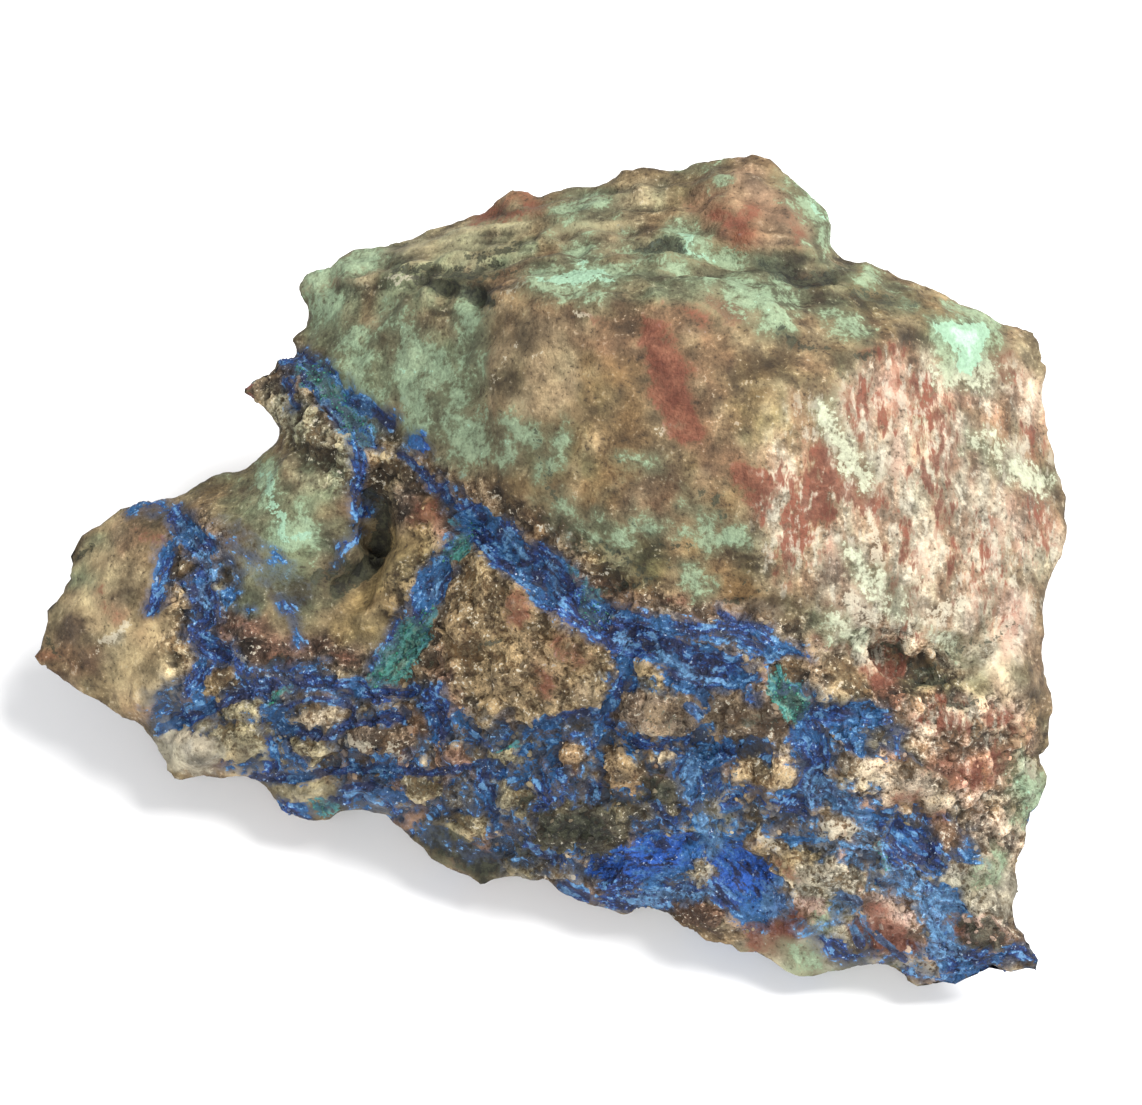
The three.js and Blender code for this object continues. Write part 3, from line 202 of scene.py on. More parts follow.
# red iron staining
RUST = strokes(
    (0.15, 145,340,24, 171,326,30, 164,310,18), (-0.2, 119,347,24, 129,327,20, 189,347,30),
    (-0.1, 214,337,30, 229,312,24), (0.9, 77,227,10, 85,204,16, 97,174,20, 109,144,18, 118,122,8),
    (-0.2, 69,242,24, 49,234,24), (-0.1, 94,246,18, 129,236,24), (0, 147,252,20, 167,238,26),
    (-0.2, 9,242,20, 39,230,20), (0.4, 255,110,12, 251,92,26, 247,67,42, 245,47,46),
    (0.7, 274,74,34, 291,56,22), (0.4, 235,42,36, 227,17,28, 217,-10,10),
    (0.7, 173,77,12, 189,68,26, 199,72,16), (0.6, 186,54,18, 189,44,10),
    (0, 289,172,24, 291,132,26, 287,102,14), (0.2, 309,152,8, 319,122,10),
    (0, 349,167,40, 369,122,44, 359,72,30), (0.2, 366,90,8, 377,52,8, 381,-8,8, 379,-43,5),
    (0.1, 334,32,12, 337,-28,12, 341,-88,8), (0.1, 324,22,8, 319,-48,8), (0, 409,32,20, 414,-48,16),
    (0.1, 432,-8,10, 432,-68,8), (0, 459,122,20, 469,7,16), (0.5, 401,187,12, 419,190,14, 435,194,10),
    (0.2, 394,192,10, 439,180,16), (0.5, 307,-130,8, 319,-120,18, 332,-112,10),
    (0.3, 289,-116,10, 309,-108,8), (0.15, 389,-223,34, 419,-218,40, 437,-208,24),
    (0, 359,-213,16, 379,-208,20), (0.1, 379,-173,30, 404,-176,20), (0.2, 434,-163,20, 444,-178,14),
    (0.1, 369,-148,20, 349,-163,20), (0.8, 293,-378,14, 309,-384,24, 329,-392,18, 341,-396,8),
    (0.8, 203,-384,10, 215,-378,16, 223,-366,14), (0.7, 189,-384,10, 199,-382,10),
    (0.3, 294,-350,16, 307,-356,10), (0.3, 376,-370,10, 384,-386,12),
    (0.5, -158,32,6, -147,41,12, -141,52,6), (0.5, -56,-50,4, -51,-59,8, -52,-66,4),
    (0.3, -37,-114,6, -29,-124,10, -25,-138,8), (0, -38,-90,8, -26,-103,8),
    (-0.1, -233,-100,14, -221,-104,16), (-0.1, -303,-106,14, -287,-110,14),
    (-0.3, -336,-73,16, -301,-78,16), (0, -129,-201,8, -113,-204,14), (-0.1, -175,-183,8, -159,-190,8),
    (0.1, -439,22,16, -421,16,20, -409,12,10), (-0.1, -471,-38,20, -459,-60,16),
    (-0.1, -66,356,10, -53,362,14, -41,356,10), (0, -91,337,24, -31,347,24),
    (0.2, 41,-324,10, 51,-328,8), (0.3, -3,-46,8, 3,-60,8), (-0.1, 39,-98,8, 54,-138,8),
    (0.2, 201,-308,10, 219,-318,10, 229,-328,6), (0.1, 154,-63,10, 189,-60,10),
    (0.1, 129,-48,10, 69,-48,10), (0.1, 289,202,20, 329,202,16), (0, -11,-88,30, 9,-108,24),
    (0.1, 249,-88,14, 279,-98,14), (0, 329,-248,30, 369,-268,30),
)
# dark olive to black fissures, cracks and fragments, and painted shadow in hollows and under ledges
DARK_AND_SHADOW = strokes(
    (-0.1, 129,62,16, 145,52,20, 151,36,14), (0.7, -136,-284,20, -111,-298,24, -85,-314,20),
    (0.3, -71,-294,24, -45,-306,20),
    (0.8, -151,275,3, -139,271,8, -125,266,9, -111,263,8, -97,258,9, -81,252,5),
    (0.4, -176,280,5, -156,282,6, -121,278,6, -91,282,5), (0.3, -101,270,5, -71,280,6, -51,286,5),
    (0.2, -176,282,10, -141,284,12, -101,282,12, -71,290,8), (0.1, -51,307,12, -101,297,14),
    (0.45, 69,306,10, 89,310,16, 111,306,10), (0.2, 189,290,12, 229,272,20, 259,276,16),
    (-0.1, 279,262,14, 319,252,14, 349,252,10), (0.1, 209,222,14, 229,207,14, 259,207,10),
    (0.2, 289,197,14, 309,200,8), (0.3, -66,-296,20, -51,-306,14),
    (0.3, -19,-276,24, 9,-274,28, 33,-280,20), (0.2, 29,-238,14, 51,-248,16, 79,-248,12),
    (0.1, -51,-248,20, -26,-260,20), (0.2, 69,-208,8, 89,-218,10),
    (0.3, -141,-288,20, -116,-296,20, -93,-310,16), (0.3, 81,-234,16, 97,-240,14),
    # painted shadow under the overhanging lower edge of the slip face
    (0.5, 313,-94,6, 327,-104,8), (0.4, 339,-110,6, 355,-118,6, 367,-112,5),
    # painted shadow lines: along the slip face's lower edge, and under the bump's lower ledge
    (0.3, 367,-106,4, 399,-92,4, 427,-84,4, 453,-68,3), (0.4, 29,-38,6, 54,-34,6, 84,-23,5),
    # painted shadow under the bump's lower ledge, then a dark crack line
    (0.3, 145,-48,6, 169,-46,6, 193,-38,5), (0.3, 54,38,3, 79,16,4, 97,5,5, 119,5,4),
    (0.3, -144,-112,4, -121,-108,4, -102,-102,4, -81,-90,4, -59,-85,3),
    # painted shadow in the pocket beside the left lobe
    (0.7, -203,54,8, -191,32,12, -191,7,14, -201,-14,12, -219,-28,10, -233,-38,8),
    (0.1, -251,-28,20, -226,-13,20), (-0.2, -35,122,14, -26,82,20, -16,52,16),
    (-0.2, -31,97,10, -23,52,10), (0.1, 49,-4,10, 69,-18,14), (0.2, 29,12,6, 49,-3,8),
    (0.3, -131,-148,4, -125,-193,5), (0.2, -301,-113,12, -281,-103,8), (0.1, 349,-124,14, 374,-128,14),
    (0.3, 389,-393,20, 429,-388,20, 419,-373,20), (0.2, 389,-373,14, 439,-398,14),
    (-0.2, 129,-148,12, 109,-148,12), (-0.3, 84,-168,26, 119,-173,24), (-0.2, 174,-163,24, 209,-173,16),
    (-0.3, -461,-103,14, -451,-93,10), (0.2, -523,-88,6, -511,-103,6), (0.1, -501,-8,10, -481,7,10),
    (0.3, -186,192,4, -185,207,3), (0.2, 44,107,4, 47,82,3, 55,52,3), (0.2, 169,-8,4, 171,-38,3),
    (0.2, 97,-8,4, 99,-38,3), (0.1, 369,-153,10, 404,-148,10),
)
# cream and white crusts and cuts, and one painted glint
PALE_AND_GLINT = strokes(
    (0.4, -81,244,3, -74,252,3, -65,259,3, -45,269,3), (0.5, -187,275,3, -169,276,4, -147,277,3),
    # the first stroke on the next line is a painted glint near the top ridge
    (0.5, 3,240,4, 17,239,5), (0.4, -440,-66,6, -459,-84,9, -477,-98,6),
    (0.5, 255,126,8, 267,106,10, 281,90,10, 295,70,8), (-0.2, 83,120,10, 97,122,14, 109,118,8),
    (0.5, 127,-290,6, 141,-310,8, 137,-332,8, 151,-348,6),
    (0.5, 151,-230,10, 149,-248,14, 151,-266,12, 157,-280,10), (0.4, 461,-213,16, 463,-248,16),
    (0.5, -341,-100,6, -331,-112,6), (0.3, 69,-92,10, 84,-84,10), (0.4, 169,-98,8, 189,-106,8),
    (0.3, -181,-193,10, -171,-206,10), (0.3, -221,-190,14, -199,-196,10),
    (-0.3, -87,158,8, -71,188,14, -57,210,10), (-0.3, -47,176,8, -33,200,10),
    (0.3, 289,82,10, 309,-8,14, 313,-68,10), (0.2, 359,-68,20, 389,-48,20),
    (0.2, 279,-48,20, 299,-68,20), (0.3, 189,-283,14, 204,-293,14), (0.3, 259,-283,30, 279,-276,20),
    (0.2, 334,-413,20, 364,-416,20), (0.2, 29,-353,10, 69,-366,10),
)
# the broken, granular vein rock
ROUGH = strokes(
    (1, -301,182,30, -271,152,50, -221,102,50, -141,52,50, -111,32,70, -31,-18,90, 49,-78,80,
     129,-98,80, 229,-113,60), (0.55, 289,-318,150, 379,-378,120, 429,-393,70),
    (1, -375,12,30, -375,-48,50, -356,-103,70, -321,-138,90, -271,-148,110, -171,-168,130, -91,-188,150,
     -11,-238,170, 79,-248,200, 189,-278,200, 259,-298,130),
    (1, -131,-48,90, -91,-108,130, -11,-128,120, 79,-178,130, 189,-188,120, 279,-208,120, 359,-268,110),
    (1, 297,-98,30, 329,-108,40, 369,-128,30), (0.7, 309,-138,50, 369,-168,70, 429,-188,80, 419,-278,90),
)
# the striated slip face
STRIAE = strokes(
    (1, 259,122,70, 279,12,100, 309,-68,70), (1, 229,92,50, 224,22,60, 229,-18,40),
    (1, 329,152,90, 359,32,130, 379,-48,90), (1, 419,132,90, 439,12,90, 429,-68,60),
    (0.2, 359,-168,60, 409,-178,70, 419,-238,60),
)
# paler, greener azurite
SKY = strokes(
    (0, 119,-212,20, 121,-244,22), (0.4, 135,-266,18, 141,-282,16, 138,-300,12),
    (0.2, 21,-190,16, 23,-218,18, 21,-248,12), (0.1, 84,-96,18, 109,-110,22, 133,-120,18, 153,-130,14),
    (0.3, -368,2,12, -363,-14,14, -368,-48,12), (0.2, -387,28,12, -371,12,12),
    (0.3, -87,-234,8, -81,-254,12, -78,-270,10), (0.2, -275,-142,10, -251,-134,14, -231,-136,12),
    (0.1, 241,-210,14, 237,-232,14, 241,-248,12), (0.3, -226,-248,10, -205,-245,12, -185,-252,10),
    (0.1, -208,124,8, -197,110,6), (0.3, -253,160,10, -237,140,12, -227,120,10),
    (0.1, -135,-22,12, -147,-44,12), (0.4, 69,-351,14, 93,-348,16, 123,-341,12, 153,-342,8),
    (0.2, 313,-298,14, 327,-314,18, 337,-328,14), (0.3, 229,-348,70, 299,-348,90, 369,-378,70),
    (0.1, 259,-248,60, 279,-288,70), (0.2, 334,-423,14, 359,-420,12), (0.1, -26,-16,16, -5,-40,14),
    (0.2, -71,16,12, -49,-4,12), (0.2, 49,-82,14, 57,-98,12), (0.2, -43,-290,6, -26,-304,8),
)
# smoother patches
CALM = strokes(
    (1, -71,202,40, -31,212,50, -11,162,50, -41,142,40, -66,172,40),
    (0.6, 29,192,70, 69,152,70, 69,102,60),
    (1, -141,52,20, -161,7,50, -186,-33,50, -211,-63,40, -241,-88,20), (0.7, -471,-8,80, -481,-68,70),
    (1, -441,-113,50, -406,-98,50), (0.6, -171,297,40, -71,327,50, 29,347,50),
    (0.5, 169,352,90, 219,332,60),
)
# thinly bedded rock
LAYERS = strokes(
    (1, -241,277,30, -171,282,50, -91,267,50, -51,290,50),
    (0.9, -151,307,50, -51,332,50, 49,337,60, 129,312,60, 209,277,70, 289,252,60, 369,232,40),
    (0.4, -11,-8,40, 109,-8,60, 189,-23,40),
)
# dark blue-grey ground between fragments
MATRIX = strokes(
    (1, -406,-152,30, -371,-170,50, -311,-188,80, -241,-203,100, -171,-223,90, -121,-248,90,
     -51,-258,110, 29,-268,110), (1, 29,-148,50, 129,-160,60, 219,-170,60, 279,-188,70, 309,-238,80),
    (1, 19,-238,90, 109,-248,130, 189,-248,140, 269,-258,130, 329,-298,120, 369,-348,110, 404,-393,60),
    (0.8, -141,-154,30, -111,-193,60, -41,-203,60, 29,-208,60),
    (0.45, 209,-328,80, 269,-348,90, 309,-378,70),
)
# rock fragments: (colour, paths)
CLASTS = coloured(
    ((132, 112, 80), (-93,-20,30, -85,-54,86, -71,-98,116, -31,-120,96, 11,-138,50),
     (-15,-80,54, 27,-102,30), (-359,-132,26, -345,-124,26), (181,-230,44, 211,-228,36)),
    ((154, 134, 98), (65,-108,20, 91,-116,24), (181,-116,20, 193,-116,18), (185,-290,22, 197,-296,24),
     (209,-308,26, 231,-312,26)),
    ((106, 88, 68), (61,-160,46, 101,-162,50, 119,-164,40), (159,-164,50, 197,-162,50, 217,-158,30),
     (-205,-186,34, -177,-186,28)),
    ((160, 144, 120), (253,-270,26, 275,-278,26), (-267,-164,24, -233,-162,28),
     (271,-216,30, 303,-216,30), (329,-230,40, 363,-244,40)),
    ((120, 98, 68), (43,-206,36, 51,-220,38), (-5,-202,28, 7,-206,26)),
    ((64, 60, 42), (81,-236,32, 103,-244,32), (-15,-274,44, 29,-278,50)),
    ((144, 134, 102), (-71,-244,28, -51,-250,26), (-109,-276,26, -93,-280,26),
     (-73,-200,18, -57,-202,18), (-283,-196,24, -251,-198,28), (-343,-190,36, -319,-190,36),
     (-287,-240,18, -245,-240,19), (-161,-238,24, -141,-238,24), (-341,-156,16, -319,-152,18)),
    ((104, 76, 60), (-125,-204,28, -111,-208,28), (113,-360,26, 141,-368,26)),
    ((140, 134, 116), (-395,-196,44, -373,-202,44), (249,-328,46, 279,-333,40),
     (265,-383,24, 285,-388,22), (389,-328,40, 429,-344,50)),
    ((168, 158, 134), (125,-310,22, 131,-322,26, 135,-332,16)),
    ((164, 136, 120), (303,-353,32, 329,-363,34), (313,-386,28, 344,-383,28),
     (401,-378,36, 429,-386,34), (227,-353,24, 241,-363,24)),
)
# the rock's own colour: (colour, paths)
TONES = coloured(
    ((198, 188, 164),  # cream
     (297,122,60, 334,32,90, 344,-48,80), (389,112,50, 414,32,60, 389,-58,60), (259,-8,50, 269,-68,50),
     (264,-88,30, 299,-103,26), (384,-103,24, 414,-113,24)),
    ((198, 178, 158),  # cream pink
     (119,-52,14, 159,-55,18, 199,-61,18), (69,-52,14, 94,-50,14), (354,-163,40, 389,-183,40),
     (359,-263,40, 414,-248,40), (439,82,40, 469,12,36), (429,-48,40, 449,-108,40, 434,-148,40),
     (399,-268,50, 439,-288,40), (344,-418,24, 364,-413,20)),
    ((188, 156, 132),  # pink tan
     (299,152,50, 359,182,50, 429,172,50), (449,212,40, 469,132,36), (349,-168,50, 389,-193,50),
     (169,372,40, 219,322,40), (-31,-103,30, -21,-138,30), (119,-53,30, 149,-56,24)),
    ((206, 187, 150),  # light tan
     (-441,-113,60, -406,-98,50), (-481,-8,40, -461,-28,60, -471,-58,60), (-421,-138,40, -451,-138,40)),
    ((172, 148, 112),  # tan
     (-91,-13,24, -101,-58,50, -91,-98,60, -71,-138,60), (-51,-38,40, -11,-78,40),
     (29,-108,20, 29,-158,24), (-441,-113,50, -406,-98,40), (-401,-48,24, -391,-78,20),
     (-421,-138,50, -461,-138,30), (169,-223,40, 214,-228,40), (259,-273,40, 279,-283,20),
     (119,-303,16, 134,-323,16), (279,-128,40, 299,-148,30), (389,234,24, 399,227,24),
     (-261,-168,20, -226,-160,14), (-191,107,30, -161,87,30), (349,-248,40, 369,-318,50, 389,-328,40),
     (269,-380,24, 279,-384,24), (164,-388,20, 174,-388,20)),
    ((178, 158, 128),  # smooth tan
     (-71,192,30, -31,222,40, -11,172,50, -51,142,30)),
    ((142, 126, 92),  # olive tan
     (109,372,30, 119,382,24), (-371,62,40, -321,82,40), (-271,-193,30, -296,-198,20),
     (-316,-160,12, -306,-158,12), (-251,-243,40, -281,-238,30), (-156,-238,30, -146,-238,30),
     (-96,-278,30, -86,-278,30), (189,122,40, 229,142,40), (169,-13,40, 189,-8,30),
     (14,-118,30, 24,-118,30), (-41,-198,24, -71,-203,20), (244,157,40, 254,157,40)),
    ((152, 149, 122),  # pale olive
     (-296,160,24, -266,127,40, -231,97,30), (-171,302,40, -101,317,40, -51,337,40),
     (-11,322,40, 49,327,40), (19,347,40, 79,357,30)),
    ((116, 96, 66),  # olive brown
     (119,72,24, 141,52,30, 159,42,24), (169,142,40, 189,182,40, 209,202,40), (149,52,40, 169,22,40),
     (-11,102,50, -51,72,40, -31,12,30), (289,252,60, 359,237,40), (-136,-268,30, -126,-273,30),
     (44,-298,30, 54,-298,30), (119,-373,40, 129,-363,30)),
    ((112, 106, 70),  # olive
     (69,-8,50, 29,2,40), (344,-120,30, 364,-126,26)),
    ((176, 152, 106),  # olive yellow
     (-141,52,10, -161,7,40, -186,-33,44, -211,-63,40, -241,-88,20)),
    ((150, 118, 80),  # ochre
     (39,172,60, 49,112,60, 29,62,40), (129,12,40, 169,-38,30), (-26,-48,30, -11,-88,30),
     (64,-108,24, 89,-120,24), (179,-118,20, 191,-118,20), (49,-213,30, 44,-188,16),
     (214,-308,26, 224,-313,20), (-356,-128,20, -346,-130,20)),
    ((132, 102, 78),  # brown
     (29,232,60, 109,212,60, 149,202,40), (129,152,50, 149,92,40), (89,52,50, 69,42,40),
     (69,-48,30, 29,-38,20), (-6,-203,30, 9,-208,24), (-331,-183,30, -311,-193,20),
     (-491,-108,30, -511,-98,20), (124,372,30, 134,374,30)),
    ((158, 122, 98),  # pink brown
     (-441,22,40, -451,2,20), (149,347,50, 189,332,50), (-461,-48,30, -451,-68,20),
     (-196,-183,30, -176,-178,20), (-136,32,20, -126,27,16), (14,-338,24, 24,-341,20),
     (-131,-108,40, -121,-148,30), (469,-183,20, 471,-193,16)),
    ((122, 102, 86),  # grey brown
     (-501,-73,20, -511,-88,16), (69,-163,50, 119,-158,40), (169,-163,60, 209,-163,40),
     (-236,-193,24, -221,-193,20), (-376,-208,30, -366,-210,30), (409,-378,50, 439,-393,30),
     (-176,52,24, -166,54,20)),
    ((98, 72, 58),  # dark brown
     (-341,-78,30, -286,-103,40, -231,-98,30), (114,-178,30, 124,-178,26), (-126,-203,24, -106,-203,20),
     (64,-176,20, 79,-176,20)),
    ((140, 88, 66),  # rust brown
     (-71,347,30, -41,357,24), (154,327,30, 174,317,30), (-529,-103,16, -521,-103,14),
     (309,-138,30, 324,-138,26), (304,-388,30, 319,-390,26)),
    ((98, 102, 82),  # moss
     (-321,-8,60, -271,-28,60, -241,2,50), (-341,-48,30, -321,-60,30)),
    ((56, 60, 44),  # dark olive
     (209,272,60, 259,262,40, 279,282,20), (-241,-38,30, -221,-28,24), (-11,-273,60, 29,-278,40),
     (-71,-303,40, -41,-308,40), (84,-238,26, 101,-240,24), (-121,-298,40, -91,-316,30),
     (-141,267,30, -91,257,20)),
    ((202, 208, 180),  # pale green
     (-251,277,50, -211,290,40, -171,302,24)),
    ((128, 138, 112),  # grey green
     (-171,288,24, -101,286,30, -46,300,24), (-331,42,40, -251,72,50),
     (-231,272,30, -241,212,50, -191,152,70), (-171,252,60, -111,232,50, -121,152,60),
     (-321,2,60, -251,-8,60), (-491,-18,40, -481,2,30), (69,287,50, 129,277,50, 169,262,40),
     (244,352,24, 254,322,20)),
    ((188, 182, 168),  # pale grey
     (229,-320,40, 279,-328,50), (189,-403,40, 229,-398,40, 269,-403,30), (414,-318,30, 434,-338,40),
     (309,-248,24, 329,-258,20), (279,-383,30, 299,-403,24)),
    ((156, 150, 136),  # grey
     (229,-338,60, 289,-368,60, 359,-388,40), (-391,-188,50, -381,-193,40), (284,-213,50, 294,-216,40),
     (159,-228,30, 174,-278,40), (249,-328,50, 284,-328,30), (254,-373,40, 269,-373,30),
     (84,-343,40, 99,-343,30), (424,-328,40, 434,-333,30), (-456,-93,16, -446,-90,14)),
    ((190, 138, 120),  # rose
     (379,-218,50, 429,-218,50), (294,-353,30, 304,-354,24)),
    ((178, 194, 168),  # pale mint
     (464,-238,30, 454,-208,20), (229,-403,40, 209,-393,20)),
)

# Colours of the small fragments in the vein rock.
FRAGMENTS = [
    (182, 166, 134), (154, 140, 108), (150, 116, 92), (124, 102, 84), (172, 154, 130),
    (98, 92, 70), (162, 150, 122), (130, 122, 98),
]

# The blue-grey ground in the seams between fragments, the rock's tone where no stroke is near,
# the two tones of the rock out of sight, and how bright the rock is that FRAGMENTS suit as they are.
SEAM_GREY, ROCK_TONE = (72, 84, 110), (140, 120, 92)
BACK_WARM, BACK_OLIVE = (146, 126, 98), (128, 124, 100)
MID_TONE = 126

# Blotches on bare rock and on the slip face: colour, size in mm, seed, most share.
BLOTCHES = [
    ((106, 112, 84), 5.0, 301, 0.45), ((150, 120, 90), 4.2, 311, 0.4),
    ((192, 176, 146), 2.4, 321, 0.5), ((84, 68, 48), 2.2, 331, 0.45),
    ((130, 96, 74), 3.2, 341, 0.34),
]
SLIP_BLOTCHES = [
    ((186, 150, 114), 3.4, 345, 0.6), ((196, 156, 136), 2.6, 346, 0.5),
    ((186, 190, 164), 3.0, 347, 0.55), ((222, 210, 186), 2.2, 348, 0.75),
    ((150, 108, 80), 1.6, 349, 0.5),
]

# What the skin's material reads at each point.
FIELDS = (
    "azurite", "malachite", "mint", "rust", "dark", "pale_and_glint", "rough", "striae", "calm", "lens",
    "sky", "line", "bedding", "blotch", "hollow", "tone", "vein",
)

# Longest edge of the skin, mm: on painted veins, on the rest of the face, and out of sight.
EDGE_VEIN, EDGE_FACE, EDGE_HIDDEN = 0.42, 0.6, 1.5
# How much a stroke's strength rises inside its edge and falls outside it, at most.
RISE, FALL = 0.5, 1.6
THREAD = 0.45  # mm, the most half width of a vein that is drawn as a thread
FAINT = 0.02  # weight of the fallback colour beside the broad strokes
FRESH = 1.12  # how much lighter the broken fragments are than their colours
LESS_BLUE = [0, 0, 0.05]  # share of red, green and blue that plain rock loses
ALBEDO = 0.62  # the white floor is brighter than white on screen, so the rock is this much darker

# Sizes, mm, of the large and small chips of broken rock and of the matrix's fragments.
CHIP, SMALL_CHIP, FRAGMENT = 1.9, 0.85, 2.7

# The relief, mm: steps and cracks between large and small chips, swells of the broken ground,
# ripples of the smooth rock, furrows of the slip face, fibres of the veins, how far fragments and
# mint film stand up, and how deep the dark pits are.
CHIP_STEP, CHIP_CRACK, SMALL_STEP, SMALL_CRACK = 0.62, 0.34, 0.24, 0.1
SWELL, RIPPLE, FURROW, FIBRE = 0.3, 0.3, 0.16, 0.3
CLAST_RISE, FILM_RISE, PIT_DEPTH = 0.26, 0.07, 0.3
# painted shade: the hollows darken the rock, fully at this depth
HOLLOW_SHADE_DEPTH = 0.45  # mm below the surface that counts as fully hollow
RESTING = 0.01  # mm of height up to which a point is on the resting facet
BASE_FADE = 1.4  # mm above the resting facet where the relief is full

# Colours of the layers on the rock, as seen on screen.
OLIVE_DIRT, CHALK_AND_GLINT, SOOT_AND_SHADE, CRUST_AND_GLINT = (84, 90, 62), (222, 212, 190), (58, 46, 34), (216, 206, 182)
IRON_DEEP, IRON, IRON_HALO, IRON_FLECK = (98, 46, 32), (134, 78, 58), (146, 98, 70), (144, 82, 62)
SLIP_CREAM, SLIP_FILM = (222, 214, 192), (206, 208, 182)
MINT_STAIN, MINT_DULL, MINT_FILM = (112, 120, 92), (118, 132, 102), (146, 170, 138)
MINT_THICK, MINT_BRIGHT = (162, 200, 170), (204, 238, 214)
PIT_AND_SHADOW_BLACK, PIT_AND_SHADOW_OLIVE = (30, 33, 26), (64, 66, 48)
GREEN_DEEP, GREEN, GREEN_TEAL = (32, 88, 90), (84, 160, 150), (56, 122, 142)
GREEN_PALE, GREEN_CORE = (128, 172, 152), (10, 52, 46)
WASH_GREY, WASH_SKY = (60, 76, 104), (112, 128, 154)
BLUE_NIGHT, BLUE_BLACK, BLUE_VEIN, BLUE_LENS = (14, 30, 74), (12, 20, 54), (24, 66, 136), (28, 86, 176)
BLUE_TEAL, BLUE_SKY, BLUE_PALE = (34, 100, 150), (84, 122, 160), (104, 156, 200)
BLUE_GLINT = (176, 198, 214)

# The grains' materials: name, darkest and lightest colour, roughness, coat, share of rock tone.
FINISHES = [
    ("azurite", (26, 44, 96), (64, 104, 156), 0.3, 0.1, 0.0),
    ("malachite", (6, 62, 50), (58, 146, 120), 0.4, 0.0, 0.0),
    ("quartz", (150, 138, 114), (226, 220, 206), 0.22, 0.2, 0.4),
    ("crumb", (90, 74, 56), (176, 152, 120), 0.8, 0.0, 0.85),
]

# The lights: name, place in metres, size in metres, power in watts, colour. All face one place.
LIGHTS = [
    ("key", (0.36, 0.08, 0.58), 0.34, 8.3, (1.0, 0.985, 0.96)),
    ("fill", (-0.08, -0.55, 0.42), 0.5, 4.4, (0.97, 0.985, 1.0)),
]
LIT_PLACE = (0, 0, 0.02)
WORLD_STRENGTH = 0.44
FLOOR_SIZE, FLOOR_COLOUR = 6, (0.86, 0.86, 0.87, 1)

# The camera: sensor width in mm, and its focal length over the frame's width, both in pixels.
SENSOR, FOCAL, FRAME_WIDTH = 36.0, 4200, 1142


# ---------------------------------------------------------------- noise, in numpy


def hashed(cell, seed):
    """A number from 0 to 1 for each whole-number cell: its three counts mixed by odd factors."""
    c = cell.astype(np.int64).astype(np.uint32)
    h = c[..., 0] * np.uint32(374761393) + c[..., 1] * np.uint32(668265263)
    h = h + c[..., 2] * np.uint32(2246822519) + np.uint32((seed * 97 + 1) * 3266489917 & 0xFFFFFFFF)
    h = (h ^ (h >> np.uint32(15))) * np.uint32(2246822519)
    h = (h ^ (h >> np.uint32(13))) * np.uint32(3266489917)
    h = h ^ (h >> np.uint32(16))
    return (h & np.uint32(0xFFFFFF)) / float(0xFFFFFF)


def noise(p, size, seed, octaves=1):
    """Smooth noise from -1 to 1: numbers at the corners of cells of that size, blended by the
    quintic step along each axis; each octave halves the size and the strength."""
    total, weight, scale = np.zeros(len(p)), 0.0, 1.0
    for octave in range(octaves):
        q = p / size / scale + 17.3 * octave
        cell = np.floor(q)
        t = q - cell
        t = t * t * t * (t * (t * 6 - 15) + 10)
        value = np.zeros(len(p))
        for corner in np.ndindex(2, 2, 2):
            share = np.prod(np.where(corner, t, 1 - t), axis=1)
            value += share * hashed(cell + corner, seed + octave)
        total += scale * (value * 2 - 1)
        weight += scale
        scale *= 0.5
    return total / weight


def noises(p, size, *seeds, octaves=2):
    """Several of those noises side by side, one for each seed."""
    return np.stack([noise(p, size, seed, octaves) for seed in seeds], 1)


def chips(p, size, seed):
    """Cells round scattered points: how much further the second nearest point is than the nearest,
    in cell sizes, and a number from 0 to 1 that belongs to the nearest."""
    q = p / size
    home = np.floor(q)
    first, second = np.full(len(p), 9.0), np.full(len(p), 9.0)
    number = np.zeros(len(p))
    for neighbour in np.ndindex(3, 3, 3):
        cell = home + np.array(neighbour) - 1
        centre = cell + np.stack([hashed(cell, seed + k) for k in range(3)], 1)
        d = np.linalg.norm(q - centre, axis=1)
        nearer = d < first
        second = np.where(nearer, first, np.minimum(second, d))
        number = np.where(nearer, hashed(cell, seed + 5), number)
        first = np.where(nearer, d, first)
    return second - first, number


def step(low, high, x):
    """0 below low, 1 above high, and the smooth cubic between."""
    t = np.clip((x - low) / (high - low), 0, 1)
    return t * t * (3 - 2 * t)


# ---------------------------------------------------------------- the skin's surface


def face_of(p):
    """Where each point shows on the face plane: across and up the plane, both divided by how
    much nearer the eye the point is."""
    q = p - CENTRE
    nearer = 1 - (q @ TOWARDS_EYE) / SIGHT
    return np.stack([q[:, 0], q @ UP_FACE], 1) / nearer[:, None]


def unit(v):
    """Vectors of the same directions and length one, but nought where they are nought."""
    return v / np.maximum(np.linalg.norm(v, axis=1, keepdims=True), 1e-12)


def normals_of(points, faces):
    """Each point's normal: the sum of its triangles' cross products, which weigh by area."""
    a, b, c = (points[faces[:, k]] for k in range(3))
    cross = np.cross(b - a, c - a)
    total = np.zeros_like(points)
    for k in range(3):
        for axis in range(3):
            total[:, axis] += np.bincount(faces[:, k], cross[:, axis], len(points))
    return unit(total)


def cad_surface(obj):
    """The CAD node's points, in mm and each once, and its triangles."""
    mesh = obj.data
    mesh.calc_loop_triangles()
    points = np.empty(len(mesh.vertices) * 3, np.float32)
    mesh.vertices.foreach_get("co", points)
    corners = np.empty(len(mesh.loop_triangles) * 3, np.int32)
    mesh.loop_triangles.foreach_get("vertices", corners)
    points = points.reshape(-1, 3).astype(float) / MM
    first, same = np.unique(np.round(points, 4), axis=0, return_index=True, return_inverse=True)[1:]
    faces = same.reshape(-1)[corners].reshape(-1, 3)
    whole = np.all(faces != np.roll(faces, 1, 1), axis=1)
    return points[first], faces[whole]


